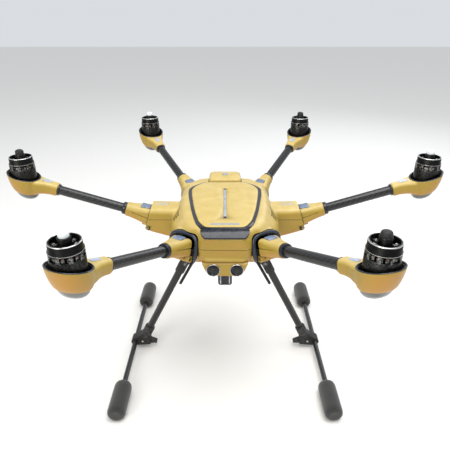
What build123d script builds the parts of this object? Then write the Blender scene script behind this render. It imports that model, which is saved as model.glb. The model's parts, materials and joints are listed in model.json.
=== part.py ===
"""Folding six-arm camera drone, in millimetres.

+Z is up and the nose looks towards -Y. The origin is on the ground, under the centre of the motor circle.
Six equal arms stand 60 degrees apart. Each rises outward from a hinge on the hull to a motor pod, and
folds straight down. Pieces that repeat are made once in a frame of their own and then set in place.
"""

import os
from math import cos, radians, sin, tan

from build123d import *

os.makedirs("parts", exist_ok=True)

# ---------------------------------------------------------------- driving dimensions
MOTOR_CIRCLE_R = 240.0
RIM_Z = 285.5
ARM_SLOPE = 17.3
HINGE_R = 88.0
AXIS_UNDER_RIM = 7.5
ARM_AZIMUTHS = {
    "right": 0.0,
    "rear_right": 60.0,
    "rear_left": 120.0,
    "left": 180.0,
    "front_left": 240.0,
    "front_right": 300.0,
}

WALL = 2.0
FIT = 0.05
SEAM_Z = 233.5
DECK_Z = 255.0

TUBE_R = 5.6
TUBE_START_X = 17.0
ROOT_START_X, ROOT_END_X = 0.3, 35.5
ROOT_WIDTH, ROOT_HEIGHT = 27.0, 20.0
PIN_X, PIN_Z, PIN_R = 4.0, -12.5, 1.5
LUG_R = 3.2
ARM_LUG_HALF = 5.7
BODY_LUG_INNER, BODY_LUG_OUTER = 6.0, 11.5
SHOULDER_HALF = 17.5
ARCH_HALF, ARCH_TOP, ARCH_BOTTOM, ARCH_DEPTH = 19.6, 17.4, -16.0, 6.0
ARCH_INNER_HALF, ARCH_INNER_TOP = 14.3, 12.6
BUTTON_START_X, BUTTON_LENGTH, BUTTON_WIDTH = 0.9, 13.6, 12.0
BUTTON_BOTTOM, BUTTON_TOP = 7.6, 11.8

POD_RIM_R = 19.2
POD_WALL = 1.6
POD_FLOOR_Z = -11.5
POD_LEAN = 0.33
LENS_DEPTH = 8.0

BELL_R, BELL_CROWN_R = 14.0, 13.0
BELL_FOOT, BELL_TOP = -7.0, 22.6
MOTOR_BASE = -9.6
SPOKE_Z, SPOKE_T = 16.4, 2.4
POST_R, POST_TOP = 5.3, 27.0
CAP_R, CAP_TOP = 4.3, 31.8
SHAFT_R = 1.5

LEG_X, LEG_Y, LEG_Z = 54.5, 27.0, 151.8
LEG_SPLAY = 26.4
LEG_TUBE_R = 5.2
LEG_LENGTH = 148.0
LEG_PIN_R = 2.0
KNUCKLE_R, SOCKET_R = 6.6, 7.4
KNUCKLE_HALF, BRACKET_INNER, BRACKET_OUTER = 6.8, 7.1, 11.6
SKID_X, SKID_Z = 135.4, 11.5
SKID_TUBE_R = 3.5
SKID_HALF = 142.0
FOAM_R, FOAM_LENGTH = 11.5, 52.0
BELLY_Z = 165.5

ANTENNA_X, ANTENNA_Z, ANTENNA_LENGTH = 42.6, 152.5, 46.0
ANTENNA_R, ANTENNA_SPLAY = 2.1, 27.6

BATTERY_HALF, HUMP_HALF = 24.0, 22.0
BATTERY_BOTTOM, BATTERY_TOP, HUMP_TOP = 201.5, 235.5, 258.5
BATTERY_FRONT, HUMP_FRONT, BATTERY_REAR = -42.0, 58.0, 98.0
BAY_GAP = 0.5

BOARD_Z = 243.5

NOSE_FRONT, NOSE_REAR, NOSE_TOP, NOSE_BOTTOM = -91.5, -62.0, 217.5, 200.0
NOSE_TOP_HALF, NOSE_BOTTOM_HALF = 26.0, 19.0
SONAR_X, SONAR_Z, SONAR_R = 12.8, 208.6, 7.4
MOUNT_Y, MOUNT_BOTTOM = -69.5, 176.5

# Worked-out places: the hinge's height, and the pod's place in the arm frame.
HINGE_Z = RIM_Z - AXIS_UNDER_RIM - (MOTOR_CIRCLE_R - HINGE_R) * tan(radians(ARM_SLOPE))
RIM_LIFT = AXIS_UNDER_RIM * cos(radians(ARM_SLOPE))
POD_X = (MOTOR_CIRCLE_R - HINGE_R) / cos(radians(ARM_SLOPE)) + AXIS_UNDER_RIM * sin(radians(ARM_SLOPE))
NECK_X = POD_X - 42.0
TUBE_END_X = POD_X - 23.0

UP = (Align.CENTER, Align.CENTER, Align.MIN)


# ---------------------------------------------------------------- frames and helpers
def arm_frame(azimuth):
    """The frame of one arm: x runs out along the tube, from the hinge face, and y is level."""
    a, s = radians(azimuth), radians(ARM_SLOPE)
    return Plane(
        origin=(HINGE_R * cos(a), HINGE_R * sin(a), HINGE_Z),
        x_dir=(cos(a) * cos(s), sin(a) * cos(s), sin(s)),
        z_dir=(-cos(a) * sin(s), -sin(a) * sin(s), cos(s)),
    )


def motor_frame(azimuth):
    """The frame of one motor: plumb, with its origin at the centre of the pod's rim."""
    a = radians(azimuth)
    return Plane(
        origin=(MOTOR_CIRCLE_R * cos(a), MOTOR_CIRCLE_R * sin(a), RIM_Z),
        x_dir=(cos(a), sin(a), 0),
        z_dir=(0, 0, 1),
    )


def write(shape, name):
    """Labels a finished piece and writes its STEP file."""
    shape.label = name
    export_step(shape, f"parts/{name}.step")


def group(*pieces):
    """Puts separate solids into one node."""
    return Compound(children=[solid for piece in pieces for solid in piece.solids()])


def mirrored(piece):
    """The same piece on the other side of the drone."""
    return group(*[solid.mirror(Plane.YZ) for solid in piece.solids()])


def both_sides(piece):
    """A piece on the right and its mirror image on the left."""
    return group(piece, mirrored(piece))


def across_x(x):
    """A sketch plane square to the x axis, whose sketch x is +Y and sketch y is +Z."""
    return Plane(origin=(x, 0, 0), x_dir=(0, 1, 0), z_dir=(1, 0, 0))


def from_front(y):
    """A sketch plane square to the y axis, whose sketch x is +X and sketch y is +Z; it extrudes to +Y."""
    return Plane(origin=(0, y, 0), x_dir=(1, 0, 0), z_dir=(0, -1, 0))


def rounded_section(x, width, height, radius, centre_z=0.0):
    """A rounded rectangle square to the x axis, for a loft along it."""
    with BuildSketch(across_x(x)) as section:
        with Locations((0, centre_z)):
            RectangleRounded(width, height, radius)
    return section.sketch


def hull_section(y, top_half, top_z, side_half, shoulder_z, chine_z, belly_half, belly_z, inset=0.0):
    """One station of the hull, square to the y axis: an eight-sided outline with rounded corners."""
    top, side, belly = top_half - inset, side_half - inset, belly_half - inset
    roof, floor = top_z - inset, belly_z + inset
    with BuildSketch(from_front(y)) as section:
        with BuildLine():
            Polyline(
                (-top, roof),
                (top, roof),
                (side, shoulder_z),
                (side, chine_z),
                (belly, floor),
                (-belly, floor),
                (-side, chine_z),
                (-side, shoulder_z),
                close=True,
            )
        make_face()
        fillet(section.vertices(), 1.5)
    return section.sketch


# Stations from nose to tail: y, top half width and height, side half width, the heights of shoulder and
# chine, belly half width and height.
HULL_STATIONS = (
    (-96.5, 21.0, 246.0, 26.0, 241.0, 225.0, 22.0, 219.5),
    (-89.0, 28.0, 252.5, 34.0, 244.5, 223.5, 28.0, NOSE_TOP),
    (-81.0, 33.0, DECK_Z, 42.0, 245.0, 223.5, 32.0, NOSE_TOP),
    (-62.0, 41.0, DECK_Z, 56.0, 242.0, 225.5, 40.0, NOSE_TOP),
    (-58.0, 42.0, DECK_Z, 58.0, 241.0, 221.5, 40.0, 198.5),
    (-44.0, 45.0, DECK_Z, 62.5, 237.5, 221.5, 42.0, 191.5),
    (-24.0, 48.0, DECK_Z, 65.0, 235.5, 217.5, 44.0, 183.5),
    (-12.0, 49.5, DECK_Z, 61.0, 240.0, 211.5, 45.0, 174.5),
    (10.0, 50.0, DECK_Z, 58.0, 245.5, 207.5, 45.0, BELLY_Z),
    (52.0, 49.0, DECK_Z, 55.0, 245.5, 207.5, 45.0, BELLY_Z),
    (76.0, 36.0, 252.5, 43.0, 244.5, 209.5, 38.0, 175.5),
    (96.0, 26.0, 245.5, 31.0, 239.5, 217.5, 26.0, 199.5),
)


def hull_loft(inset=0.0):
    """The hull's outer form, or its cavity when there is an inset."""
    stations = [list(station) for station in HULL_STATIONS]
    stations[0][0] += inset
    stations[-1][0] -= inset
    return [hull_section(*station, inset=inset) for station in stations]


# ---------------------------------------------------------------- shoulder of the hull, in the arm frame
with BuildPart() as shoulder:
    loft(
        [
            rounded_section(-33.0, 2 * SHOULDER_HALF, 43.0, 5.0, 5.0),
            rounded_section(0.0, 2 * SHOULDER_HALF - 1.0, 32.5, 5.0, 0.3),
        ]
    )
    for outer_y in (BODY_LUG_OUTER, -BODY_LUG_INNER):
        with BuildSketch(from_front(outer_y)):
            with Locations((PIN_X, PIN_Z)):
                Circle(LUG_R)
            with Locations((-3.0, PIN_Z)):
                Rectangle(PIN_X + 3.0, 2 * LUG_R, align=(Align.MIN, Align.CENTER))
        extrude(amount=BODY_LUG_OUTER - BODY_LUG_INNER)
    with BuildSketch(from_front(BODY_LUG_OUTER)):
        with Locations((PIN_X, PIN_Z)):
            Circle(PIN_R + FIT)
    extrude(amount=2 * BODY_LUG_OUTER, mode=Mode.SUBTRACT)

with BuildPart() as arm_space:
    with Locations((0, 0, -10.0)):
        Box(60.0, 2 * SHOULDER_HALF, 80.0, align=(Align.MIN, Align.CENTER, Align.CENTER))

with BuildPart() as arch_space:
    with BuildSketch(across_x(0.0)):
        with Locations((0, (ARCH_TOP + ARCH_BOTTOM) / 2)):
            RectangleRounded(2 * ARCH_HALF, ARCH_TOP - ARCH_BOTTOM, 7.0)
    extrude(amount=60.0)

# ---------------------------------------------------------------- hull: one form, split at the seam
with BuildPart() as hull:
    loft(hull_loft(), ruled=True)
    loft(hull_loft(WALL), ruled=True, mode=Mode.SUBTRACT)
    for name in ("front_left", "front_right"):
        add(arch_space.part.moved(arm_frame(ARM_AZIMUTHS[name]).location), mode=Mode.SUBTRACT)
    for azimuth in ARM_AZIMUTHS.values():
        add(arm_space.part.moved(arm_frame(azimuth).location), mode=Mode.SUBTRACT)
        add(shoulder.part.moved(arm_frame(azimuth).location))
    with Locations((0, NOSE_REAR + 0.1, NOSE_TOP)):
        Box(
            2 * NOSE_TOP_HALF + 0.2,
            40.0,
            30.0,
            align=(Align.CENTER, Align.MAX, Align.MAX),
            mode=Mode.SUBTRACT,
        )
    with Locations((0, BATTERY_FRONT - 6.0, BATTERY_BOTTOM - 4.0)):
        Box(
            2 * BATTERY_HALF + 7.0,
            HUMP_FRONT - BATTERY_FRONT + 8.0,
            BATTERY_TOP - BATTERY_BOTTOM + 8.0,
            align=(Align.CENTER, Align.MIN, Align.MIN),
            mode=Mode.SUBTRACT,
        )
    with Locations((0, HUMP_FRONT - 2.0, BATTERY_BOTTOM - BAY_GAP)):
        Box(
            2 * (BATTERY_HALF + BAY_GAP),
            60.0,
            BATTERY_TOP - BATTERY_BOTTOM + 2 * BAY_GAP,
            align=(Align.CENTER, Align.MIN, Align.MIN),
            mode=Mode.SUBTRACT,
        )
    with Locations((0, HUMP_FRONT - BAY_GAP, BATTERY_TOP - 1.0)):
        Box(
            2 * (HUMP_HALF + BAY_GAP),
            60.0,
            40.0,
            align=(Align.CENTER, Align.MIN, Align.MIN),
            mode=Mode.SUBTRACT,
        )

with BuildPart() as top_shell:
    add(hull.part)
    split(bisect_by=Plane.XY.offset(SEAM_Z), keep=Keep.TOP)

with BuildPart() as bottom_shell:
    add(hull.part)
    split(bisect_by=Plane.XY.offset(SEAM_Z), keep=Keep.BOTTOM)


# ---------------------------------------------------------------- deck: lid panel and the gloss trim round it
LID_CORNERS = ((21.0, -78.5), (31.0, -54.0), (38.5, -16.0), (42.2, 18.0), (41.0, 33.0), (30.0, 50.0))
TRIM_CORNERS = ((24.5, -81.0), (35.0, -56.0), (43.0, -16.0), (46.6, 18.0), (45.0, 36.0), (30.0, 53.0))


def deck_outline(corners):
    """A shield-shaped outline on the deck, narrow at the nose, from the corners of its right half."""
    left = [(-x, y) for x, y in reversed(corners)]
    with BuildSketch(Plane.XY.offset(DECK_Z)) as outline:
        with BuildLine():
            Polyline(*corners, *left, close=True)
        make_face()
        fillet(outline.vertices(), 3.0)
    return outline.sketch


with BuildPart() as top_panel:
    add(deck_outline(LID_CORNERS))
    extrude(amount=1.8)
    fillet(top_panel.faces().sort_by(Axis.Z)[-1].edges(), 0.5)
    with BuildSketch(Plane.XY.offset(DECK_Z + 1.2)):
        with Locations((0, -15.0)):
            SlotOverall(87.0, 2.8, rotation=90)
    extrude(amount=1.0, mode=Mode.SUBTRACT)

with BuildPart() as trim_band:
    add(deck_outline(TRIM_CORNERS))
    extrude(amount=1.2)
    with BuildSketch(Plane.XY.offset(DECK_Z)) as lid_opening:
        add(deck_outline(LID_CORNERS))
        offset(amount=0.1)
    extrude(amount=1.2, mode=Mode.SUBTRACT)

# ---------------------------------------------------------------- nose, sonar and camera mount
with BuildPart() as nose_housing:
    with BuildSketch(from_front(NOSE_REAR)) as nose_section:
        with BuildLine():
            Polyline(
                (-NOSE_TOP_HALF, NOSE_TOP),
                (NOSE_TOP_HALF, NOSE_TOP),
                (NOSE_BOTTOM_HALF, NOSE_BOTTOM),
                (-NOSE_BOTTOM_HALF, NOSE_BOTTOM),
                close=True,
            )
        make_face()
        fillet(nose_section.vertices().group_by(Axis.Z)[0], 5.0)
    extrude(amount=NOSE_REAR - NOSE_FRONT)
    with BuildSketch(from_front(NOSE_REAR)):
        with Locations((0, (NOSE_TOP + NOSE_BOTTOM) / 2)):
            RectangleRounded(2 * NOSE_BOTTOM_HALF - 2.0, NOSE_TOP - NOSE_BOTTOM - 4.0, 5.0)
    extrude(amount=NOSE_REAR - NOSE_FRONT - 5.0, mode=Mode.SUBTRACT)
    with BuildSketch(from_front(NOSE_FRONT + 3.0)):
        with Locations((-SONAR_X, SONAR_Z), (SONAR_X, SONAR_Z)):
            Circle(SONAR_R + FIT)
    extrude(amount=3.0, mode=Mode.SUBTRACT)

with BuildPart() as sonar_sensors:
    with BuildSketch(from_front(NOSE_FRONT + 3.0)):
        with Locations((-SONAR_X, SONAR_Z), (SONAR_X, SONAR_Z)):
            Circle(SONAR_R)
    extrude(amount=4.2)
    with BuildSketch(from_front(NOSE_FRONT - 0.2)):
        with Locations((-SONAR_X, SONAR_Z), (SONAR_X, SONAR_Z)):
            Circle(SONAR_R - 1.1)
    extrude(amount=1.0, mode=Mode.SUBTRACT)

with BuildPart() as gimbal_mount:
    with Locations((0, MOUNT_Y, MOUNT_BOTTOM)):
        Box(16.0, 15.0, NOSE_BOTTOM - MOUNT_BOTTOM, align=UP)
    fillet(gimbal_mount.faces().sort_by(Axis.Z)[0].edges().filter_by(Axis.Y), 3.0)
    with Locations((0, MOUNT_Y, MOUNT_BOTTOM)):
        with GridLocations(8.0, 0, 2, 1):
            Cylinder(1.25, 10.0, align=UP, mode=Mode.SUBTRACT)

# ---------------------------------------------------------------- inside the hull
with BuildPart() as battery_bay:
    with Locations((0, BATTERY_FRONT - 3.0, BATTERY_BOTTOM - 3.0)):
        Box(
            2 * BATTERY_HALF + 6.0,
            HUMP_FRONT - BATTERY_FRONT + 1.0,
            BATTERY_TOP - BATTERY_BOTTOM + 6.0,
            align=(Align.CENTER, Align.MIN, Align.MIN),
        )
    with Locations((0, BATTERY_FRONT - BAY_GAP, BATTERY_BOTTOM - BAY_GAP)):
        Box(
            2 * (BATTERY_HALF + BAY_GAP),
            120.0,
            BATTERY_TOP - BATTERY_BOTTOM + 2 * BAY_GAP,
            align=(Align.CENTER, Align.MIN, Align.MIN),
            mode=Mode.SUBTRACT,
        )
    for rib_y in (15.0, 48.0):
        with Locations((0, rib_y, BELLY_Z + WALL)):
            Box(44.0, 2.0, BATTERY_BOTTOM - 3.0 - BELLY_Z - WALL, align=UP)

with BuildPart() as main_board:
    with Locations((0, 0, BOARD_Z)):
        Box(50.0, 76.0, 1.6, align=UP)
    with Locations((0, 0, BATTERY_TOP + 3.0)):
        with GridLocations(42.0, 66.0, 2, 2):
            Cylinder(2.2, BOARD_Z - BATTERY_TOP - 3.0, align=UP)
    with Locations((0, 6.0, BOARD_Z + 1.6)):
        Box(18.0, 18.0, 2.0, align=UP)
    with Locations((0, -23.0, BOARD_Z + 1.6)):
        Box(25.0, 25.0, 5.5, align=UP)
    with Locations((14.0, 24.0, BOARD_Z + 1.6)):
        Box(12.0, 8.0, 2.5, align=UP)

with BuildPart() as battery_pack:
    with Locations((0, BATTERY_FRONT, BATTERY_BOTTOM)):
        Box(
            2 * BATTERY_HALF,
            BATTERY_REAR - BATTERY_FRONT,
            BATTERY_TOP - BATTERY_BOTTOM,
            align=(Align.CENTER, Align.MIN, Align.MIN),
        )
    with Locations((0, HUMP_FRONT, BATTERY_TOP - 1.0)):
        Box(
            2 * HUMP_HALF,
            BATTERY_REAR - HUMP_FRONT,
            HUMP_TOP - BATTERY_TOP + 1.0,
            align=(Align.CENTER, Align.MIN, Align.MIN),
        )
    fillet(battery_pack.faces().sort_by(Axis.Z)[-1].edges(), 3.0)
    with Locations((0, 78.0, HUMP_TOP)):
        Box(7.0, 7.0, 6.0, mode=Mode.SUBTRACT)

with BuildPart() as battery_button:
    with Locations((0, 78.0, HUMP_TOP - 1.8)):
        Box(6.2, 6.2, 2.4, align=UP)
    fillet(battery_button.faces().sort_by(Axis.Z)[-1].edges(), 0.4)

# ---------------------------------------------------------------- dark arches round the two front arms
with BuildPart() as pocket_arch:
    with BuildSketch(across_x(0.2)):
        with Locations((0, (ARCH_TOP + ARCH_BOTTOM) / 2)):
            RectangleRounded(2 * ARCH_HALF, ARCH_TOP - ARCH_BOTTOM, 7.0)
        with Locations((0, ARCH_INNER_TOP - 14.2)):
            RectangleRounded(2 * ARCH_INNER_HALF, 28.4, 4.0, mode=Mode.SUBTRACT)
        with Locations((0, -14.0)):
            Rectangle(2 * ARCH_INNER_HALF, 12.0, mode=Mode.SUBTRACT)
    extrude(amount=ARCH_DEPTH)

# ---------------------------------------------------------------- leg pieces, made for the right-hand side
with BuildPart() as leg_bracket:
    with Locations((36.0, LEG_Y, BELLY_Z - 3.0)):
        Box(16.0, 28.0, 3.0, align=UP)
    for rear_y in (LEG_Y + BRACKET_OUTER, LEG_Y - BRACKET_INNER):
        with BuildSketch(from_front(rear_y)):
            with BuildLine():
                Polyline(
                    (34.0, BELLY_Z),
                    (44.5, BELLY_Z),
                    (LEG_X + 3.6, LEG_Z + 2.7),
                    (LEG_X - 3.6, LEG_Z - 2.7),
                    close=True,
                )
            make_face()
            with Locations((LEG_X, LEG_Z)):
                Circle(4.5)
        extrude(amount=BRACKET_OUTER - BRACKET_INNER)
    with BuildSketch(from_front(LEG_Y + BRACKET_OUTER)):
        with Locations((LEG_X, LEG_Z)):
            Circle(LEG_PIN_R + FIT)
    extrude(amount=2 * BRACKET_OUTER, mode=Mode.SUBTRACT)
    for rear_y in (LEG_Y + 5.9, LEG_Y - 3.3):
        with BuildSketch(from_front(rear_y)):
            with Locations((ANTENNA_X, ANTENNA_Z)):
                Circle(2.4)
            with Locations((ANTENNA_X, ANTENNA_Z)):
                Rectangle(4.8, BELLY_Z - 3.0 - ANTENNA_Z, align=(Align.CENTER, Align.MIN))
        extrude(amount=2.6)

with BuildPart() as retract_servo:
    with Locations((34.5, LEG_Y, BELLY_Z + WALL + 0.1)):
        Box(12.0, 22.0, 20.0, align=UP)
    with Locations((34.5, LEG_Y, BELLY_Z + WALL + 20.1)):
        Cylinder(4.0, 3.0, align=UP)

with BuildPart() as leg_pin:
    with BuildSketch(from_front(LEG_Y + BRACKET_OUTER)):
        with Locations((LEG_X, LEG_Z)):
            Circle(LEG_PIN_R)
    extrude(amount=2 * BRACKET_OUTER)

with BuildPart() as arm_pin:
    with BuildSketch(from_front(BODY_LUG_OUTER)):
        with Locations((PIN_X, PIN_Z)):
            Circle(PIN_R)
    extrude(amount=2 * BODY_LUG_OUTER)

splay = radians(LEG_SPLAY)
leg_frame = Plane(
    origin=(LEG_X, LEG_Y, LEG_Z),
    x_dir=(-cos(splay), 0, -sin(splay)),
    z_dir=(sin(splay), 0, -cos(splay)),
)

with BuildPart() as leg_strut_local:
    with Locations((0, 0, 8.0)):
        Cylinder(LEG_TUBE_R, LEG_LENGTH - 8.0, align=UP)
        Cylinder(LEG_TUBE_R - 1.2, LEG_LENGTH - 8.0, align=UP, mode=Mode.SUBTRACT)

with BuildPart() as knuckle_local:
    with BuildSketch(from_front(KNUCKLE_HALF)):
        Circle(4.4)
    extrude(amount=2 * KNUCKLE_HALF)
    with Locations((0, 0, 3.0)):
        Cylinder(KNUCKLE_R, 18.0, align=UP)
    with Locations((0, 0, 8.0)):
        Cylinder(LEG_TUBE_R + FIT, 20.0, align=UP, mode=Mode.SUBTRACT)
    with BuildSketch(from_front(KNUCKLE_HALF)):
        Circle(LEG_PIN_R + FIT)
    extrude(amount=2 * KNUCKLE_HALF, mode=Mode.SUBTRACT)

with BuildPart() as socket_local:
    with Locations((0, 0, LEG_LENGTH - 20.0)):
        Cylinder(SOCKET_R, 20.0, align=UP)

with BuildPart() as tube_space_local:
    with Locations((0, 0, 8.0)):
        Cylinder(LEG_TUBE_R + FIT, LEG_LENGTH - 8.0 + FIT, align=UP)

with BuildPart() as foot_bracket:
    add(socket_local.part.moved(leg_frame.location))
    with BuildSketch(from_front(LEG_Y + 7.0)):
        with Locations((SKID_X, SKID_Z)):
            Circle(6.5)
        with BuildLine():
            Polyline(
                (SKID_X - 23.0, 6.5),
                (SKID_X, 5.0),
                (SKID_X, 18.0),
                (SKID_X - 11.0, 25.5),
                (SKID_X - 22.0, 20.5),
                close=True,
            )
        make_face()
    extrude(amount=14.0)
    with BuildSketch(from_front(LEG_Y + 4.0)):
        with BuildLine():
            Polyline(
                (SKID_X - 32.0, 6.5),
                (SKID_X - 22.0, 6.5),
                (SKID_X - 22.0, 14.5),
                (SKID_X - 32.0, 9.5),
                close=True,
            )
        make_face()
    extrude(amount=8.0)
    add(tube_space_local.part.moved(leg_frame.location), mode=Mode.SUBTRACT)
    with BuildSketch(from_front(LEG_Y + 10.0)):
        with Locations((SKID_X, SKID_Z)):
            Circle(SKID_TUBE_R + FIT)
    extrude(amount=20.0, mode=Mode.SUBTRACT)

with BuildPart() as skid_tube:
    with BuildSketch(from_front(LEG_Y + SKID_HALF - 5.0)):
        with Locations((SKID_X, SKID_Z)):
            Circle(SKID_TUBE_R)
            Circle(SKID_TUBE_R - 1.0, mode=Mode.SUBTRACT)
    extrude(amount=2 * (SKID_HALF - 5.0))

with BuildPart() as foam_ends:
    for rear_y in (LEG_Y + SKID_HALF, LEG_Y - SKID_HALF + FOAM_LENGTH):
        with BuildSketch(from_front(rear_y)):
            with Locations((SKID_X, SKID_Z)):
                Circle(FOAM_R)
        extrude(amount=FOAM_LENGTH)
    fillet(foam_ends.edges().filter_by(GeomType.CIRCLE), 5.0)
    with BuildSketch(from_front(LEG_Y + SKID_HALF - 4.9)):
        with Locations((SKID_X, SKID_Z)):
            Circle(SKID_TUBE_R + FIT)
    extrude(amount=2 * (SKID_HALF - 4.9), mode=Mode.SUBTRACT)

antenna_splay = radians(ANTENNA_SPLAY)
antenna_frame = Plane(
    origin=(ANTENNA_X, LEG_Y, ANTENNA_Z),
    x_dir=(-cos(antenna_splay), 0, -sin(antenna_splay)),
    z_dir=(sin(antenna_splay), 0, -cos(antenna_splay)),
)

with BuildPart() as antenna_local:
    with BuildSketch(from_front(3.0)):
        Circle(2.4)
    extrude(amount=6.0)
    Cylinder(ANTENNA_R, ANTENNA_LENGTH, align=UP)
    fillet(antenna_local.faces().sort_by(Axis.Z)[-1].edges(), 1.0)

# ---------------------------------------------------------------- arm pieces, in the arm frame
with BuildPart() as arm_root:
    loft(
        [
            rounded_section(ROOT_START_X, ROOT_WIDTH, ROOT_HEIGHT, 4.0, 1.0),
            rounded_section(20.0, 23.0, 19.0, 5.0, 0.6),
            rounded_section(ROOT_END_X, 17.0, 17.0, 7.5),
        ]
    )
    with BuildSketch(across_x(TUBE_START_X)):
        Circle(TUBE_R + FIT)
    extrude(amount=ROOT_END_X, mode=Mode.SUBTRACT)
    with BuildSketch(across_x(0.0)):
        with Locations((0, -1.5)):
            RectangleRounded(16.0, 8.0, 2.0)
    extrude(amount=TUBE_START_X, mode=Mode.SUBTRACT)
    with Locations((-1.0, 0, BUTTON_BOTTOM - 3.0)):
        Box(
            BUTTON_START_X + BUTTON_LENGTH + 1.3,
            BUTTON_WIDTH + 0.6,
            10.0,
            align=(Align.MIN, Align.CENTER, Align.MIN),
            mode=Mode.SUBTRACT,
        )
    with BuildSketch(from_front(ARM_LUG_HALF)):
        with Locations((PIN_X, PIN_Z)):
            Circle(LUG_R)
        with Locations((PIN_X, PIN_Z)):
            Rectangle(2 * LUG_R, 4.6, align=(Align.CENTER, Align.MIN))
    extrude(amount=2 * ARM_LUG_HALF)
    with BuildSketch(from_front(ARM_LUG_HALF)):
        with Locations((PIN_X, PIN_Z)):
            Circle(PIN_R + FIT)
    extrude(amount=2 * ARM_LUG_HALF, mode=Mode.SUBTRACT)

with BuildPart() as arm_tube:
    with BuildSketch(across_x(TUBE_START_X + 0.1)):
        Circle(TUBE_R)
        Circle(TUBE_R - 1.2, mode=Mode.SUBTRACT)
    extrude(amount=TUBE_END_X - TUBE_START_X - 0.2)

with BuildPart() as collars:
    with BuildSketch(across_x(ROOT_END_X)):
        Circle(8.0)
        Circle(TUBE_R + FIT, mode=Mode.SUBTRACT)
    extrude(amount=4.5)
    with BuildSketch(across_x(NECK_X - 2.2)):
        Circle(TUBE_R + 0.9)
        Circle(TUBE_R + FIT, mode=Mode.SUBTRACT)
    extrude(amount=2.2)


def pod_rings(*rings):
    """Level circles of the pod, given as height and radius; the lower ones lean towards the hull."""
    sketches = []
    for z, radius in rings:
        with BuildSketch(Plane.XY.offset(z)) as ring:
            with Locations((POD_X - POD_LEAN * (RIM_LIFT - z), 0)):
                Circle(radius)
        sketches.append(ring.sketch)
    return sketches


plumb = radians(ARM_SLOPE)
motor_seat_plane = Plane(
    origin=(POD_X, 0, RIM_LIFT),
    x_dir=(cos(plumb), 0, -sin(plumb)),
    z_dir=(sin(plumb), 0, cos(plumb)),
)
LENS_BOTTOM = POD_FLOOR_Z - LENS_DEPTH

with BuildPart() as motor_pod:
    loft(
        [
            rounded_section(NECK_X, 14.6, 14.6, 6.8),
            rounded_section(NECK_X + 14.0, 17.5, 15.6, 6.0, -0.2),
            rounded_section(NECK_X + 30.0, 28.0, 16.0, 6.0, -1.0),
        ]
    )
    loft(
        pod_rings(
            (RIM_LIFT, POD_RIM_R),
            (-1.0, POD_RIM_R - 0.8),
            (POD_FLOOR_Z + 3.0, POD_RIM_R - 2.8),
            (POD_FLOOR_Z, POD_RIM_R - 4.8),
        ),
        ruled=True,
    )
    loft(
        pod_rings(
            (RIM_LIFT + 0.5, POD_RIM_R - POD_WALL),
            (-1.0, POD_RIM_R - POD_WALL - 0.7),
            (POD_FLOOR_Z + 2.4, POD_RIM_R - POD_WALL - 4.0),
        ),
        ruled=True,
        mode=Mode.SUBTRACT,
    )
    with BuildSketch(across_x(NECK_X - 1.0)):
        Circle(TUBE_R + FIT)
    extrude(amount=TUBE_END_X - NECK_X + 1.0, mode=Mode.SUBTRACT)
    with BuildSketch(motor_seat_plane.offset(MOTOR_BASE)):
        Circle(9.5)
    extrude(amount=-6.0)

with BuildPart() as pod_lens:
    loft(
        pod_rings((POD_FLOOR_Z, 13.6), (POD_FLOOR_Z - 4.2, 12.0), (LENS_BOTTOM, 7.6)),
        ruled=True,
    )
    loft(
        pod_rings((POD_FLOOR_Z, 12.2), (POD_FLOOR_Z - 3.8, 10.7), (LENS_BOTTOM + 1.4, 7.0)),
        ruled=True,
        mode=Mode.SUBTRACT,
    )

with BuildPart() as release_button:
    with Locations((BUTTON_START_X + BUTTON_LENGTH / 2, 0, BUTTON_BOTTOM)):
        Box(BUTTON_LENGTH, BUTTON_WIDTH, BUTTON_TOP - BUTTON_BOTTOM, align=UP)
    fillet(release_button.edges().filter_by(Axis.Z), 1.2)
    with Locations((BUTTON_START_X + BUTTON_LENGTH / 2, 0, BUTTON_TOP)):
        with GridLocations(2.2, 0, 3, 1):
            Box(0.7, 6.0, 0.8, mode=Mode.SUBTRACT)

# ---------------------------------------------------------------- motor pieces, in the motor frame
with BuildPart() as stator:
    with Locations((0, 0, MOTOR_BASE)):
        Cylinder(10.6, 2.2, align=UP)
        Cylinder(4.4, 24.0, align=UP)
    with Locations((0, 0, -4.0)):
        Cylinder(6.6, 15.0, align=UP)
    with Locations((0, 0, 0)):
        with PolarLocations(8.4, 12):
            Box(5.4, 2.4, 13.4, align=UP)
    with Locations((0, 0, -4.1)):
        Cylinder(SHAFT_R + FIT, 30.0, align=UP, mode=Mode.SUBTRACT)

with BuildPart() as bell:
    with BuildSketch(Plane.XZ):
        with BuildLine():
            Polyline(
                (BELL_R - 1.3, BELL_FOOT),
                (BELL_R - 0.4, BELL_FOOT),
                (BELL_R, BELL_FOOT + 0.6),
                (BELL_R, 14.8),
                (BELL_CROWN_R, 16.4),
                (BELL_CROWN_R, BELL_TOP - 0.4),
                (BELL_CROWN_R - 0.4, BELL_TOP),
                (BELL_CROWN_R - 1.8, BELL_TOP),
                (BELL_CROWN_R - 1.8, 16.0),
                (BELL_R - 1.3, 15.0),
                close=True,
            )
        make_face()
    revolve(axis=Axis.Z)
    with BuildSketch(Plane.XY.offset(SPOKE_Z)):
        Circle(6.4)
        with PolarLocations(8.9, 6):
            Rectangle(6.0, 2.6)
    extrude(amount=SPOKE_T)
    with Locations((0, 0, SPOKE_Z)):
        Cylinder(POST_R, POST_TOP - SPOKE_Z, align=UP)
    with Locations((0, 0, POST_TOP)):
        Cylinder(CAP_R, CAP_TOP - POST_TOP, align=UP)
    fillet(bell.faces().sort_by(Axis.Z)[-1].edges(), 1.6)
    with Locations((0, 0, -4.0)):
        Cylinder(SHAFT_R, SPOKE_Z + 4.0, align=UP)
    with Locations((0, 0, 11.7)):
        with PolarLocations(BELL_R, 9):
            Box(5.0, 6.2, 4.4, mode=Mode.SUBTRACT)

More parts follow.
